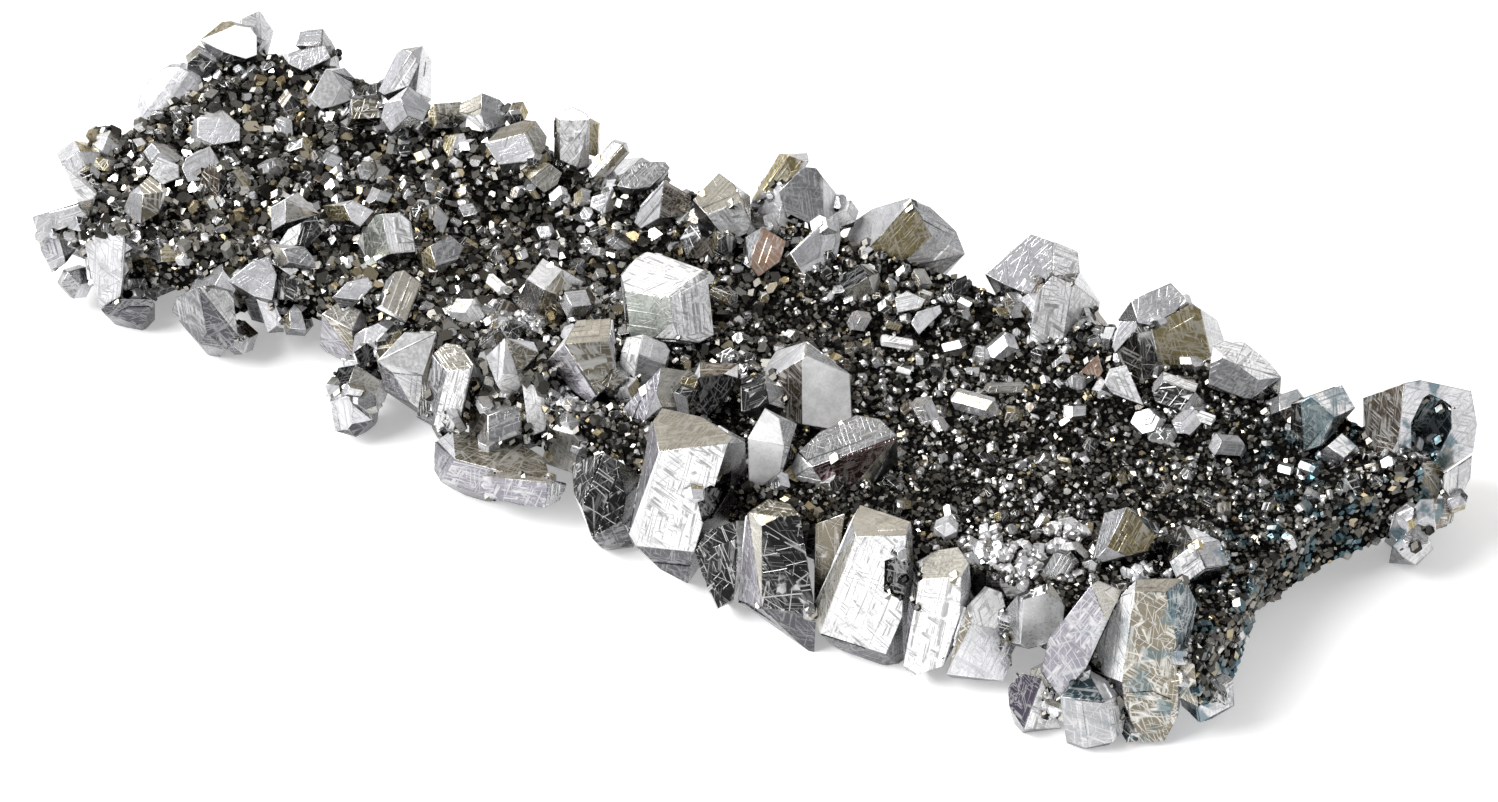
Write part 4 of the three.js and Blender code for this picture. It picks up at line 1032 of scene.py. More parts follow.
# How often each finish falls on a face of a crystal of middle size: on the rims, in the trough and in its bright
# patches.
RIM_SHARES = (
    ("silver", 28), ("satin", 14), ("white", 9), ("gray", 24), ("tan", 7), ("straw", 4), ("dark", 14),
)
TROUGH_SHARES = (
    ("silver", 10), ("gray", 28), ("dark", 40), ("olive", 6), ("straw", 4), ("white", 4), ("brown", 8),
)
DRUSE_SHARES = (("silver", 32), ("white", 24), ("satin", 14), ("gray", 20), ("tan", 10))
# The share of a placed crystal's faces that take its own finish, and how wide a bar's form of unit reach is.
OWN_FINISH = 0.75
BAR_WIDTH = 1.6
# How small crystals' reaches in millimetres are drawn: the least, the most that is added, and how rare large ones
# are. In the gaps on the rims and in the trough, on the trough's bed, and where large ones meet.
RIM_GAP_REACH = (0.26, 0.42, 1.7)
TROUGH_GAP_REACH = (0.26, 0.50, 1.7)
BED_REACH = (0.30, 0.42, 2.2)
RUBBLE_REACH = (0.10, 0.22, 2)
# The same for the tone of the crystals where large ones meet.
RUBBLE_TONE = (0.0, 0.8, 2.2)
# The least and the greatest reach of a crystal in a bright patch, and of one in step with a large one, and how far
# the latter sinks into its edge, as a share of its reach. An edge shorter than this carries smaller ones.
DRUSE_REACH = (0.14, 0.38)
PARALLEL_REACH = (0.15, 0.45)
PARALLEL_SUNK = (0.45, 0.95)
PARALLEL_FULL_EDGE = 2.0 * MM
# A crystal in a gap sinks by up to this share of its reach, and one on the bed is raised by this share.
GAP_SUNK = 0.45
BED_RAISED = 0.1
# No crystal on the bed is nearer to the next than this many reaches. From here on along the cluster, in
# millimetres, and over this length, they become smaller by this share.
BED_APART = 1.9
BED_FINER_FROM = -12
BED_FINER_OVER = 40
BED_FINER_BY = 0.35
# How far the rubble strays from its edge.
RUBBLE_STRAY = 0.2 * MM


class GrownCrystals:
    """Crystals of middle size, in one bmesh, with the finish of each face and the places that are taken."""

    def __init__(self, seed):
        self.chance = random.Random(seed)
        self.facets = Facets()
        self.names = []
        self.taken = []
        axes = ((1, 1, 1), (1, 1, 1), (1, 0, 0))
        self.forms = [
            grown_form(self.chance, self.chance.choice(axes), self.chance.uniform(1.0, 1.5), 0.16) for _ in range(24)
        ]
        self.bar_forms = [grown_form(self.chance, (1, 1, 1), stretch=2.2, unevenness=0.10) for _ in range(6)]

    def is_free(self, place, distance):
        """Whether no other place is nearer than that. A free place is then taken."""
        if any((place - other).length < distance for other in self.taken):
            return False
        self.taken.append(place)
        return True

    def add(self, form, place, turn, reach, shares, name=None):
        """A crystal of that form, unless it would reach the ground."""
        corners, faces = form
        places = [place + turn @ (corner * reach) for corner in corners]
        if min(corner.z for corner in places) < CORNER_CLEAR:
            return
        verts = [self.facets.mesh.verts.new(corner) for corner in places]
        names, weights = zip(*shares)
        for row in faces:
            face = self.facets.mesh.faces.new([verts[i] for i in row])
            face.normal_update()
            is_own = name and self.chance.random() < OWN_FINISH
            chosen = name if is_own else self.chance.choices(names, weights)[0]
            self.names.append(chosen)
            self.facets.dress_as([face], chosen, self.chance)

    def add_any(self, place, reach, shares, name=None):
        """A crystal of any form and turn, its reach in millimetres."""
        self.add(self.chance.choice(self.forms), place, any_turn(self.chance), reach * MM, shares, name)

    def add_bar(self, start, end, thickness, name):
        """A long crystal that lies from start to end, its thickness in millimetres."""
        corners, faces = self.chance.choice(self.bar_forms)
        reach = thickness * MM / BAR_WIDTH
        axis = Vector((1, 1, 1)).normalized()
        heights = [corner.dot(axis) for corner in corners]
        stretch = (end - start).length / ((max(heights) - min(heights)) * reach)
        lie = axis.rotation_difference((end - start).normalized()).to_matrix()
        lie = lie @ Matrix.Rotation(self.chance.uniform(0, math.tau), 3, axis)
        stretched = [corner + axis * height * (stretch - 1) for corner, height in zip(corners, heights)]
        self.add((stretched, faces), (start + end) / 2, lie, reach, TROUGH_SHARES, name)

    def finishes(self):
        """The finish of each face by its index."""
        self.facets.mesh.faces.index_update()
        return dict(enumerate(self.names))


def drop_forms(collection):
    for thing in list(collection.objects):
        bpy.data.objects.remove(thing)
    bpy.data.collections.remove(collection)


# How much darker or lighter than its crystal a small crystal's face is.
FACE_TONES = (0.35, 1.75)
# The lining's points are this dense before they are thinned out to their spacing, and the higher the rarity is, the
# fewer crystals are large.
LINING_DENSITY = 3e7
LINING_RARITY = 1.8


class CrystalTree(Graph):
    """A geometry tree that grows a crystal, picked from a collection of forms, at each of its points."""

    def __init__(self, name, labels):
        super().__init__(bpy.data.node_groups.new(name, "GeometryNodeTree"))
        self.new_socket("Geometry", "INPUT", "NodeSocketGeometry")
        self.sockets = {}
        for label in labels:
            kind = "NodeSocketInt" if label == "Seed" else "NodeSocketFloat"
            self.sockets[label] = self.new_socket(label, "INPUT", kind)
        self.new_socket("Geometry", "OUTPUT", "NodeSocketGeometry")
        self.start = self.add("NodeGroupInput")

    def new_socket(self, label, side, kind):
        return self.tree.interface.new_socket(name=label, in_out=side, socket_type=kind).identifier

    def given(self, label):
        """The tree's input of that name."""
        return Term(self, self.start.outputs[label])

    def between(self, kind, least, most, seed_step):
        """A random number or vector from least to most for each point."""
        first, output = (0, 0) if kind == "FLOAT_VECTOR" else (2, 1)
        inputs = {first: least, first + 1: most, "Seed": self.given("Seed") + seed_step}
        return self.add("FunctionNodeRandomValue", {"data_type": kind}, inputs).outputs[output]

    def stored(self, geometry, name, domain, value):
        """The geometry, with a number attribute of that name."""
        settings = {"data_type": "FLOAT", "domain": domain}
        inputs = {0: geometry, "Name": name, "Value": value}
        return self.add("GeometryNodeStoreNamedAttribute", settings, inputs).outputs[0]

    def grow(self, points, turn, size, collection, material, tone=None):
        """Closes the tree: a crystal at each point, made real, each of its faces lighter or darker than the next."""
        picked = {"Collection": collection, "Separate Children": True, "Reset Children": True}
        forms = self.add("GeometryNodeCollectionInfo", None, picked).outputs[0]
        placed = {0: points, "Instance": forms, "Pick Instance": True, "Rotation": turn, "Scale": size}
        grown = self.add("GeometryNodeInstanceOnPoints", None, placed).outputs[0]
        if tone:
            grown = self.stored(grown, "tone", "INSTANCE", tone)
        real = self.add("GeometryNodeRealizeInstances", None, {0: grown}).outputs[0]
        flat = self.add("GeometryNodeSetShadeSmooth", None, {0: real, "Shade Smooth": False}).outputs[0]
        least, most = FACE_TONES
        face_tone = self.add("FunctionNodeRandomValue", {"data_type": "FLOAT"}, {2: least, 3: most}).outputs[1]
        shaded = self.stored(flat, "face_tone", "FACE", face_tone)
        dressed = self.add("GeometryNodeSetMaterial", None, {0: shaded, "Material": material}).outputs[0]
        self.add("NodeGroupOutput", None, {0: dressed})


def lining_tree(collection, material):
    """Crystals scattered over a surface: random in turn, size, form and tone."""
    labels = ("Spacing", "Smallest", "Largest", "Seed", "Darkest", "Lightest", "Sunk by", "Tilt")
    tree = CrystalTree("Crystal lining", labels)
    smallest, largest, tilt = (tree.given(label) for label in ("Smallest", "Largest", "Tilt"))
    scattered = tree.add(
        "GeometryNodeDistributePointsOnFaces", {"distribute_method": "POISSON"},
        {0: tree.start.outputs["Geometry"], "Distance Min": tree.given("Spacing"),
         "Density Max": LINING_DENSITY, "Seed": tree.given("Seed")},
    )
    height = tree.axis(tree.add("GeometryNodeInputPosition").outputs[0], 2)
    is_low = tree.math("LESS_THAN", height, largest * LINING_CLEAR)
    clear = tree.add("GeometryNodeDeleteGeometry", {"domain": "POINT"}, {0: scattered.outputs[0], 1: is_low})
    most = tree.add("ShaderNodeCombineXYZ", None, {0: tilt, 1: tilt, 2: math.pi}).outputs[0]
    turn = tree.between("FLOAT_VECTOR", tree.scaled(most, -1.0), most, 11)
    size = smallest + (largest - smallest) * Term(tree, tree.between("FLOAT", 0.0, 1.0, 12)) ** LINING_RARITY
    sink = tree.scaled(scattered.outputs["Normal"], size * tree.given("Sunk by") * -1.0)
    sunk = tree.add("GeometryNodeSetPosition", None, {0: clear.outputs[0], "Offset": sink})
    tone = tree.between("FLOAT", tree.given("Darkest"), tree.given("Lightest"), 13)
    tree.grow(sunk.outputs[0], turn, size, collection, material, tone)
    return tree


def crystals_at_points_tree(collection, material):
    """A crystal at each vertex, turned and sized by the vertex's own attributes."""
    tree = CrystalTree("Crystals at points", ("Size",))
    turn = tree.add("GeometryNodeInputNamedAttribute", {"data_type": "FLOAT_VECTOR"}, {"Name": "turn"}).outputs[0]
    reach = tree.term("GeometryNodeInputNamedAttribute", 0, {"data_type": "FLOAT"}, {"Name": "reach"})
    tree.grow(tree.start.outputs["Geometry"], turn, reach * tree.given("Size"), collection, material)
    return tree


def run_tree(thing, tree, values):
    """Runs a geometry tree on an object with those input values, and keeps the result as a plain mesh."""
    modifier = thing.modifiers.new("growth", "NODES")
    modifier.node_group = tree.tree
    for label, value in values.items():
        modifier[tree.sockets[label]] = value
    seen = thing.evaluated_get(bpy.context.evaluated_depsgraph_get())
    grown = bpy.data.meshes.new_from_object(seen)
    thing.modifiers.remove(modifier)
    was = thing.data
    thing.data = grown
    bpy.data.meshes.remove(was)
    grown.name = thing.name


def patch_object(name, faces):
    """An object that holds a copy of some of the solid's faces."""
    corners = {}
    rows = [[corners.setdefault(vert, len(corners)) for vert in face.verts] for face in faces]
    mesh = bpy.data.meshes.new(name)
    mesh.from_pydata([vert.co for vert in corners], [], rows)
    return new_object(name, mesh)


def lattice_turn(edge):
    """The turn of the crystal that an edge belongs to, from its two faces' normals."""
    first, second = (face.normal for face in edge.link_faces)
    if first.dot(second) > 0.25:
        cross = 2 * first.cross(second)
        x = (math.sqrt(2) * (first + second) + cross) / 3
        y = math.sqrt(2) * first - x
    else:
        x = (first + second) / math.sqrt(2)
        y = (first - second) / math.sqrt(2)
    x.normalize()
    y = (y - x * y.dot(x)).normalized()
    return Matrix((x, y, x.cross(y))).transposed()


def points_object(name, rows):
    """An object of loose vertices with the turn, reach and tone that the crystals at them need."""
    mesh = bpy.data.meshes.new(name)
    mesh.from_pydata([row[0] for row in rows], [], [])
    turn = mesh.attributes.new("turn", "FLOAT_VECTOR", "POINT")
    reach = mesh.attributes.new("reach", "FLOAT", "POINT")
    tone = mesh.attributes.new("tone", "FLOAT", "POINT")
    for i, (_, angles, size, shade) in enumerate(rows):
        turn.data[i].vector = angles
        reach.data[i].value = size
        tone.data[i].value = shade
    return new_object(name, mesh)


def is_in_trough(place):
    """Whether a place lies between the rims rather than on or outside them."""
    across = place.y - TROUGH_LINE[0] - TROUGH_LINE[1] * place.x
    return abs(across) < TROUGH_HALF_WIDTH and place.z < RIM_HEIGHT


def add_seen_crystals(grown, tree, finishes, druse_density):
    """The bars, crystals and bright patches that the photograph shows in the trough."""
    chance = grown.chance
    for start, end, thickness, name in BARS_SEEN:
        _, start_place, normal = seen_face(tree, start)
        _, end_place, _ = seen_face(tree, end)
        if start_place and end_place:
            lift = normal * 0.35 * thickness * MM
            grown.add_bar(start_place + lift, end_place + lift, thickness, name)
            grown.taken.append((start_place + end_place) / 2)
    for pixel, reach, name in CRYSTALS_SEEN:
        _, place, normal = seen_face(tree, pixel)
        if place:
            grown.add_any(place + normal * 0.15 * reach * MM, reach, TROUGH_SHARES, name)
            grown.taken.append(place)
    for (x, y), reach in DRUSES_SEEN:
        for _ in range(int(reach * reach * druse_density)):
            angle = chance.uniform(0, math.tau)
            away = reach * math.sqrt(chance.random())
            pixel = (x + away * math.cos(angle), y + DRUSE_FLATTENED * away * math.sin(angle))
            index, place, normal = seen_face(tree, pixel)
            if place and finishes[index] == "crust":
                grown.add_any(place + normal * 0.1 * MM, chance.uniform(*DRUSE_REACH), DRUSE_SHARES)


def add_gap_crystals(grown, solid, finishes, tries, spacing):
    """Crystals that fill the gaps between the large ones."""
    chance = grown.chance
    edges = list(solid.edges)
    for _ in range(tries):
        edge = chance.choice(edges)
        if not is_gap(edge, GAP_BEND) or any(finishes[face.index] == "blade" for face in edge.link_faces):
            continue
        place = place_on(edge, chance)
        if place.z < MIDDLE_CLEAR or any((place - hollow).length < HOLLOW_REACH for hollow in made["hollows"]):
            continue
        in_trough = is_in_trough(place)
        reach = skewed(chance, *(TROUGH_GAP_REACH if in_trough else RIM_GAP_REACH))
        shares = TROUGH_SHARES if in_trough else RIM_SHARES
        if grown.is_free(place, reach * spacing * MM):
            grown.add_any(place - outward_of(edge) * reach * chance.uniform(0.0, GAP_SUNK) * MM, reach, shares)


def add_trough_crystals(grown, solid, finishes, tries):
    """Crystals scattered over the trough's bed, smaller towards its broad end."""
    chance = grown.chance
    bed = [face for face in solid.faces if finishes[face.index] == "crust" and face.normal.z > BED_LEVEL]
    areas = [face.calc_area() for face in bed]
    for face in chance.choices(bed, areas, k=tries):
        corners = chance.sample(list(face.verts), 3)
        weights = [chance.random() for _ in range(3)]
        place = sum((vert.co * weight for vert, weight in zip(corners, weights)), Vector()) / sum(weights)
        along = min(max((place.x / MM - BED_FINER_FROM) / BED_FINER_OVER, 0), 1)
        reach = skewed(chance, *BED_REACH) * (1.0 - BED_FINER_BY * along)
        if grown.is_free(place, reach * BED_APART * MM):
            grown.add_any(place + face.normal * BED_RAISED * reach * MM, reach, TROUGH_SHARES)


def middle_crystals(solid, finishes, settings):
    """Crystals of middle size: those seen in the photograph, and those that fill the gaps and the trough."""
    grown = GrownCrystals(settings.seed)
    add_seen_crystals(grown, BVHTree.FromBMesh(solid), finishes, settings.druse_density)
    add_gap_crystals(grown, solid, finishes, settings.gap_tries, settings.gap_spacing)
    add_trough_crystals(grown, solid, finishes, settings.trough_tries)
    return grown


def parallel_crystal_points(solid, finishes, count, seed):
    """Places for small crystals that grow in step with the large one they sit on, along its edges."""
    chance = random.Random(seed)
    edges = [edge for edge in solid.edges if is_crystal_edge(edge)]
    lengths = [edge.calc_length() for edge in edges]
    rows = []
    for edge in chance.choices(edges, lengths, k=count):
        if any(finishes[face.index] in SMOOTH for face in edge.link_faces):
            continue
        size = chance.uniform(*PARALLEL_REACH) * MM * min(1.0, edge.calc_length() / PARALLEL_FULL_EDGE)
        place = place_on(edge, chance)
        place -= outward_of(edge) * size * chance.uniform(*PARALLEL_SUNK)
        if place.z < PARALLEL_CLEAR * size:
            continue
        rows.append((place, lattice_turn(edge).to_euler(), size, chance.uniform(0.5, 0.9)))
    return rows


def junction_points(solid, spacing, seed):
    """Places for the rubble of small crystals where large ones meet."""
    chance = random.Random(seed)
    rows = []
    for edge in solid.edges:
        if not is_gap(edge, JUNCTION_BEND):
            continue
        for _ in range(int(edge.calc_length() / (spacing * MM) + chance.random())):
            size = skewed(chance, *RUBBLE_REACH) * MM
            place = place_on(edge, chance)
            if place.z < RUBBLE_CLEAR:
                continue
            stray = Vector([chance.uniform(-RUBBLE_STRAY, RUBBLE_STRAY) for _ in range(3)])
            turn = [chance.uniform(0, math.tau) for _ in range(3)]
            rows.append((place + stray, turn, size, skewed(chance, *RUBBLE_TONE)))
    return rows


# Settings, each with what a user would change.


class FacetSettings(bpy.types.PropertyGroup):
    edge_width: bpy.props.FloatProperty(
        name="Edge width", description="Width of the rounded band along each crystal's edges",
        default=0.04 * MM, unit="LENGTH",
    )
    waviness: bpy.props.FloatProperty(
        name="Waviness", description="Height of the broad waves of a facet", default=0.016 * MM, unit="LENGTH",
    )
    growth_line_depth: bpy.props.FloatProperty(
        name="Growth line depth", description="Depth of the fine lines of growth", default=0.005 * MM, unit="LENGTH",
    )
    dent_depth: bpy.props.FloatProperty(
        name="Dent depth", description="Depth of the dents of hammered facets", default=0.03 * MM, unit="LENGTH",
    )
    scratch_depth: bpy.props.FloatProperty(
        name="Scratch depth", description="Depth of the scratches", default=0.010 * MM, unit="LENGTH",
    )


class StepSettings(bpy.types.PropertyGroup):
    smallest_facet: bpy.props.FloatProperty(
        name="Smallest facet", description="Facets smaller than this, in square millimetres, carry no steps",
        default=1.2,
    )
    share: bpy.props.FloatProperty(
        name="Share", description="Share of the wide facets that carry steps", default=0.7, subtype="FACTOR",
    )
    step_slope: bpy.props.FloatProperty(
        name="Step slope", description="How much the tops of the steps tilt, as rise over run", default=0.02,
    )
    seed: bpy.props.IntProperty(name="Seed", description="Seed of the steps", default=21)


class MiddleSettings(bpy.types.PropertyGroup):
    gap_tries: bpy.props.IntProperty(
        name="Gap tries", description="Number of places tried between the large crystals", default=3000,
    )
    gap_spacing: bpy.props.FloatProperty(
        name="Gap spacing", description="Least distance from the next crystal, as a multiple of the reach",
        default=1.3,
    )
    trough_tries: bpy.props.IntProperty(
        name="Trough tries", description="Number of places tried in the trough", default=2600,
    )
    druse_density: bpy.props.FloatProperty(
        name="Patch density", description="How closely the crystals of the bright patches stand", default=0.055,
    )
    seed: bpy.props.IntProperty(name="Seed", description="Seed of the crystals of middle size", default=51)


class LiningSettings(bpy.types.PropertyGroup):
    fine_spacing: bpy.props.FloatProperty(
        name="Fine spacing", description="Least distance between the grains of the trough's broad end",
        default=0.36 * MM, unit="LENGTH",
    )
    coarse_spacing: bpy.props.FloatProperty(
        name="Coarse spacing", description="Least distance between the grains of the trough's narrow end",
        default=0.52 * MM, unit="LENGTH",
    )
    under_spacing: bpy.props.FloatProperty(
        name="Chip spacing", description="Least distance between the chips under the grains",
        default=0.27 * MM, unit="LENGTH",
    )
    change_at: bpy.props.FloatProperty(
        name="Change at", description="Place along the cluster where the coarse grains give way to the fine ones",
        default=0.0, unit="LENGTH",
    )
    seed: bpy.props.IntProperty(name="Seed", description="Seed of the lining", default=31)


class SmallCrystalSettings(bpy.types.PropertyGroup):
    parallel_count: bpy.props.IntProperty(
        name="Parallel crystals", description="Number of small crystals that grow on the large ones", default=90,
    )
    junction_spacing: bpy.props.FloatProperty(
        name="Junction spacing", description="Distance between small crystals where large ones meet, in millimetres",
        default=0.55,
    )
    seed: bpy.props.IntProperty(name="Seed", description="Seed of the small crystals", default=41)


class StageSettings(bpy.types.PropertyGroup):
    floor_colour: bpy.props.FloatVectorProperty(
        name="Floor colour", description="Colour of the pale floor", subtype="COLOR", size=3,
        default=(0.86, 0.86, 0.86),
    )
    floor_glow: bpy.props.FloatProperty(
        name="Floor glow", description="Light that comes up through the floor, as on a light table", default=0.34,
    )
    floor_size: bpy.props.FloatProperty(
        name="Floor size", description="Side of the floor", default=3.0, unit="LENGTH",
    )


def add_faceted_piece(name, facets, edge_width):
    """A piece from a bmesh of facets, its edges rounded."""
    round_edges(facets, edge_width)
    piece = object_from(facets.mesh, name, made["facet material"], made["crust material"])
    finish_piece(piece)
    return piece


class NIOBIUM_OT_large_crystals(bpy.types.Operator):
    """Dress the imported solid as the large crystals, each facet with its own finish, and add their growth steps"""

    bl_idname = "niobium.large_crystals"
    bl_label = "Large crystals"

    def execute(self, context):
        settings = context.scene.niobium_facets
        made["facet material"] = niobium_material(settings)
        made["crust material"] = crust_shade_material()
        made["small material"] = small_crystal_material()
        solid = load_facets()
        made["solid"] = solid.copy()
        made["solid"].faces.ensure_lookup_table()
        finishes, sheets = choose_finishes(made["solid"])
        made["finishes"] = finishes
        facets = Facets(solid)
        solid.faces.ensure_lookup_table()
        chance = random.Random(6)
        dressed = set()
        for face in solid.faces:
            if face.index not in dressed:
                members = [member.index for member in sheets.get(face.index, [face])]
                dressed.update(members)
                facets.dress_as([solid.faces[i] for i in members], finishes[face.index], chance)
        steps = build_steps(facets, finishes, context.scene.niobium_steps)
        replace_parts(add_faceted_piece("large_crystals", facets, settings.edge_width), NODE)
        finish_piece(object_from(steps.mesh, "growth_steps", made["facet material"]))
        return {"FINISHED"}


class NIOBIUM_OT_middle_crystals(bpy.types.Operator):
    """Add the crystals of middle size, in the gaps between the large ones and in the trough"""

    bl_idname = "niobium.middle_crystals"
    bl_label = "Middle crystals"

    def execute(self, context):
        grown = middle_crystals(made["solid"], made["finishes"], context.scene.niobium_middle)
        steps = build_steps(grown.facets, grown.finishes(), context.scene.niobium_steps)
        add_faceted_piece("middle_crystals", grown.facets, context.scene.niobium_facets.edge_width * 0.75)
        finish_piece(object_from(steps.mesh, "middle_growth_steps", made["facet material"]))
        return {"FINISHED"}


class NIOBIUM_OT_lining(bpy.types.Operator):
    """Line the trough and the crust's sides with small crystals"""

    bl_idname = "niobium.lining"
    bl_label = "Trough lining"

    def execute(self, context):
        settings = context.scene.niobium_lining
        crust = [face for face in made["solid"].faces if made["finishes"][face.index] == "crust"]
        bed = [face for face in crust if face.normal.z > BED_LEVEL]
        steep = [face for face in crust if face.normal.z <= BED_LEVEL and face.calc_center_median().z > MIDDLE_CLEAR]
        narrow_end = [face for face in bed if face.calc_center_median().x < settings.change_at]
        broad_end = [face for face in bed if face.calc_center_median().x >= settings.change_at]
        chance = random.Random(settings.seed)
        collections = [
            crystal_forms([grain_form(chance) for _ in range(14)]),
            crystal_forms([grown_form(chance, (1, 0, 0), stretch=1.2, unevenness=0.30) for _ in range(18)]),
            crystal_forms([chip_form(chance) for _ in range(10)]),
        ]
        grains, blocks, chips = (lining_tree(collection, made["small material"]) for collection in collections)
        fine, coarse, under = settings.fine_spacing, settings.coarse_spacing, settings.under_spacing
        labels = ("Spacing", "Smallest", "Largest", "Sunk by", "Tilt", "Darkest", "Lightest")
        linings = (
            ("lining_narrow_end", narrow_end, blocks, (coarse, coarse * 0.45, coarse * 0.90, 0.2, 0.7, 0.28, 1.0)),
            ("lining_broad_end", broad_end, grains, (fine, fine * 0.42, fine * 0.85, 0.2, 0.7, 0.10, 1.0)),
            ("chips_narrow_end", narrow_end, chips, (under, under * 0.5, under * 1.0, 0.2, 3.0, 0.0, 0.7)),
            ("chips_broad_end", broad_end, chips, (under * 0.9, under * 0.45, under * 0.9, 0.2, 3.0, 0.0, 0.75)),
            ("crust_sides", steep, grains, (coarse * 0.55, coarse * 0.33, coarse * 0.80, 0.3, 3.0, 0.25, 0.93)),
        )
        for step, (name, faces, tree, numbers) in enumerate(linings):
            piece = patch_object(name, faces)
            run_tree(piece, tree, {**dict(zip(labels, numbers)), "Seed": settings.seed + step})
            finish_piece(piece)
        for collection in collections:
            drop_forms(collection)
        return {"FINISHED"}


class NIOBIUM_OT_small_crystals(bpy.types.Operator):
    """Add small crystals in step with the large ones, and rubble where large ones meet"""

    bl_idname = "niobium.small_crystals"
    bl_label = "Small crystals"

    def execute(self, context):
        settings = context.scene.niobium_small
        solid = made["solid"]
        chance = random.Random(settings.seed)
        forms = crystal_forms([grown_form(chance, (1, 1, 1), chance.uniform(1.0, 1.3), 0.16) for _ in range(12)])
        tree = crystals_at_points_tree(forms, made["small material"])
        parallel = parallel_crystal_points(solid, made["finishes"], settings.parallel_count, settings.seed)
        junctions = junction_points(solid, settings.junction_spacing, settings.seed + 1)
        for name, rows in (("parallel_crystals", parallel), ("junction_crystals", junctions)):
            piece = points_object(name, rows)
            run_tree(piece, tree, {"Size": 1.0})
            finish_piece(piece)
        drop_forms(forms)
        return {"FINISHED"}


class NIOBIUM_OT_stage(bpy.types.Operator):
    """Add the pale floor, the soft studio light and the camera"""

    bl_idname = "niobium.stage"
    bl_label = "Stage"

    def execute(self, context):
        floor = make_floor(context.scene.niobium_stage)
        make_lights()
        make_world()
        make_camera()
        context.scene.view_settings.view_transform = "Standard"
        return {"FINISHED"}


def make_floor(settings):
    """A pale plain floor under the cluster."""
    material = bpy.data.materials.new("pale floor")
    material.use_nodes = True
    shader = material.node_tree.nodes["Principled BSDF"]
    shader.inputs["Base Color"].default_value = rgba(settings.floor_colour)
    shader.inputs["Roughness"].default_value = 0.9
    shader.inputs["Emission Color"].default_value = (1.0, 1.0, 1.0, 1.0)
    shader.inputs["Emission Strength"].default_value = settings.floor_glow
    solid = bmesh.new()
    bmesh.ops.create_grid(solid, x_segments=1, y_segments=1, size=settings.floor_size / 2)
    floor = object_from(solid, "floor", material)
    solid.free()
    return floor


def direction_to(azimuth, elevation):
    """The direction to a place in the room, from the side of the photograph's camera and up from the floor."""
    side = VIEW_TURNED + math.radians(azimuth)
    rise = math.radians(elevation)
    return Vector((math.sin(side) * math.cos(rise), -math.cos(side) * math.cos(rise), math.sin(rise)))


def add_light(name, azimuth, elevation, distance, size, power):
    """A soft rectangular light that faces the cluster."""
    data = bpy.data.lights.new(name, "AREA")
    data.shape = "RECTANGLE"
    data.size, data.size_y = size
    data.energy = power
    light = new_object(name, data)
    away = direction_to(azimuth, elevation)
    light.location = away * distance
    light.rotation_euler = away.to_track_quat("Z", "Y").to_euler()
    light.visible_camera = False


def make_lights():
    """A soft key light at the left of the photograph's view."""
    add_light("left softbox", azimuth=-70, elevation=45, distance=0.60, size=(0.40, 0.30), power=4.5)


# Pale and dark parts of the room that the facets mirror: azimuth, elevation, how far each reaches and fades out,
# and its colour.
ROOM = (
    (0, 38, 16, 46, (0.42, 0.42, 0.43)),
    (180, 38, 22, 50, (0.82, 0.78, 0.72)),
    (-85, 35, 18, 42, (1.30, 1.32, 1.36)),
    (85, 25, 14, 38, (0.95, 0.96, 0.98)),
)
ROOM_HORIZON = (0.66, 0.67, 0.69)
ROOM_TOP = (0.42, 0.42, 0.42)
BACKDROP = (0.95, 0.95, 0.95)


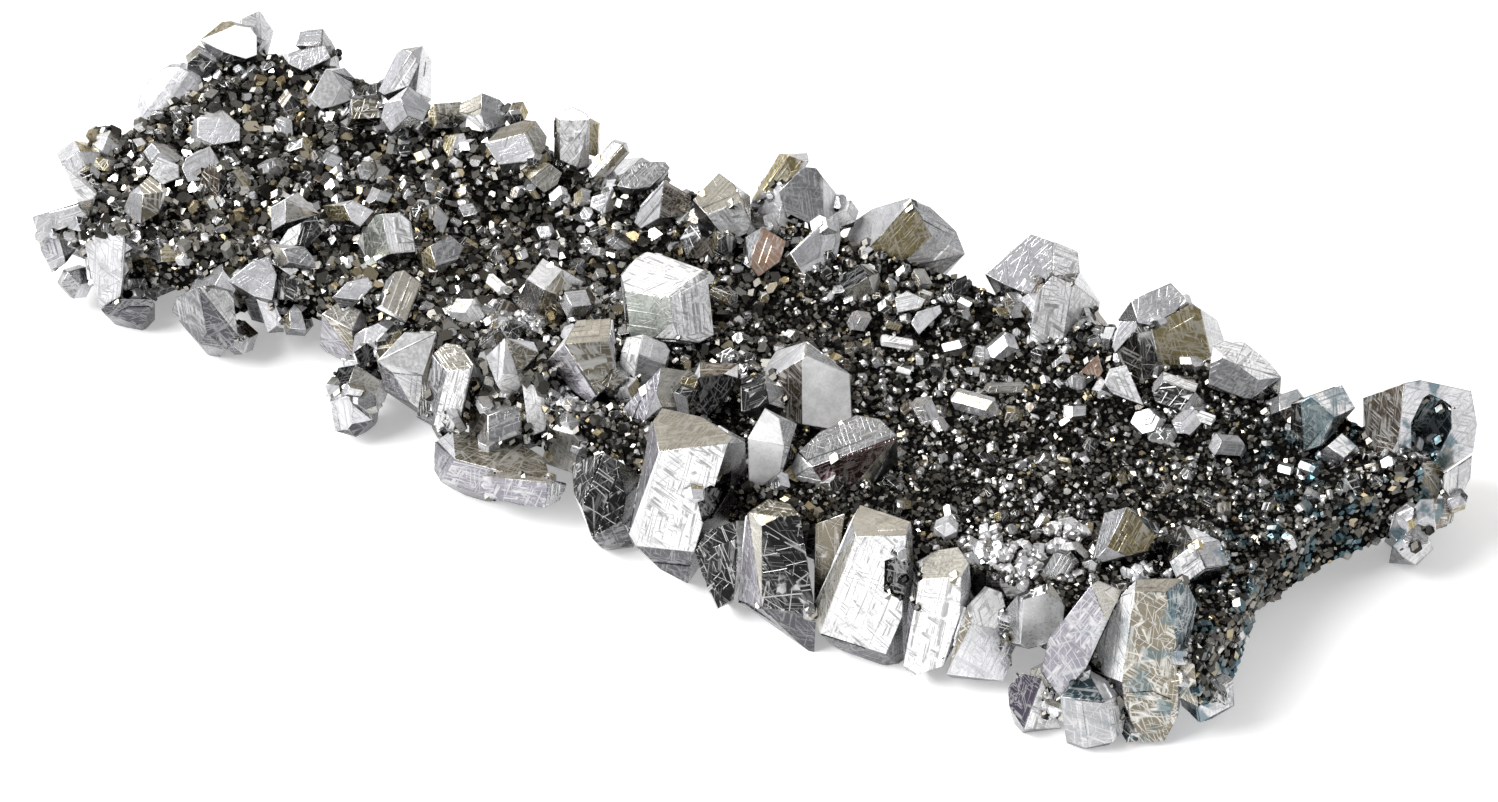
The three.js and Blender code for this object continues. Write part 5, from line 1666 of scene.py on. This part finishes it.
def make_world():
    """A plain pale room, darker overhead and around the camera, with paler walls at the left, right and back."""
    world = bpy.data.worlds.new("pale room")
    bpy.context.scene.world = world
    world.use_nodes = True
    graph = Graph(world.node_tree)
    background = world.node_tree.nodes["Background"]
    direction = graph.add("ShaderNodeTexCoord").outputs["Generated"]
    room = graph.mix_colour(graph.axis(direction, 2).ramp(0.0, 0.75), rgba(ROOM_HORIZON), rgba(ROOM_TOP))
    for azimuth, elevation, inner, outer, colour in ROOM:
        towards = direction_to(azimuth, elevation)
        near = graph.term("ShaderNodeVectorMath", 1, {"operation": "DOT_PRODUCT"}, {0: direction, 1: towards})
        share = near.ramp(math.cos(math.radians(outer)), math.cos(math.radians(inner)))
        room = graph.mix_colour(share, room, rgba(colour))
    seen = graph.add("ShaderNodeLightPath").outputs["Is Camera Ray"]
    graph.feed(background.inputs["Color"], graph.mix_colour(seen, room, rgba(BACKDROP)))


def make_camera():
    data = bpy.data.cameras.new("camera")
    data.lens = LENS
    data.sensor_width = SENSOR
    data.clip_start = 0.01
    camera = new_object("camera", data)
    turn = Matrix((photo_right, photo_up, -photo_sight)).transposed().to_4x4()
    camera.matrix_world = Matrix.Translation(photo_eye) @ turn
    bpy.context.scene.camera = camera


class NIOBIUM_PT_panel(bpy.types.Panel):
    """The operators, in order"""

    bl_idname = "NIOBIUM_PT_panel"
    bl_label = "Niobium crystal cluster"
    bl_space_type = "VIEW_3D"
    bl_region_type = "UI"
    bl_category = "Niobium"

    def draw(self, context):
        for operator in OPERATORS:
            self.layout.operator(operator.bl_idname)


SETTINGS = {
    "niobium_facets": FacetSettings,
    "niobium_steps": StepSettings,
    "niobium_middle": MiddleSettings,
    "niobium_lining": LiningSettings,
    "niobium_small": SmallCrystalSettings,
    "niobium_stage": StageSettings,
}
OPERATORS = (
    NIOBIUM_OT_large_crystals,
    NIOBIUM_OT_middle_crystals,
    NIOBIUM_OT_lining,
    NIOBIUM_OT_small_crystals,
    NIOBIUM_OT_stage,
)


def register():
    for kind in (*SETTINGS.values(), *OPERATORS, NIOBIUM_PT_panel):
        bpy.utils.register_class(kind)
    for name, kind in SETTINGS.items():
        setattr(bpy.types.Scene, name, bpy.props.PointerProperty(type=kind))


def unregister():
    for name in SETTINGS:
        delattr(bpy.types.Scene, name)
    for kind in (NIOBIUM_PT_panel, *reversed(OPERATORS), *reversed(SETTINGS.values())):
        bpy.utils.unregister_class(kind)


def main():
    for thing in list(bpy.data.objects):
        if thing.name in ("Cube", "Light", "Camera"):
            bpy.data.objects.remove(thing)
    register()
    for operator in OPERATORS:
        group, name = operator.bl_idname.split(".")
        getattr(getattr(bpy.ops, group), name)()


if __name__ == "__main__":
    main()
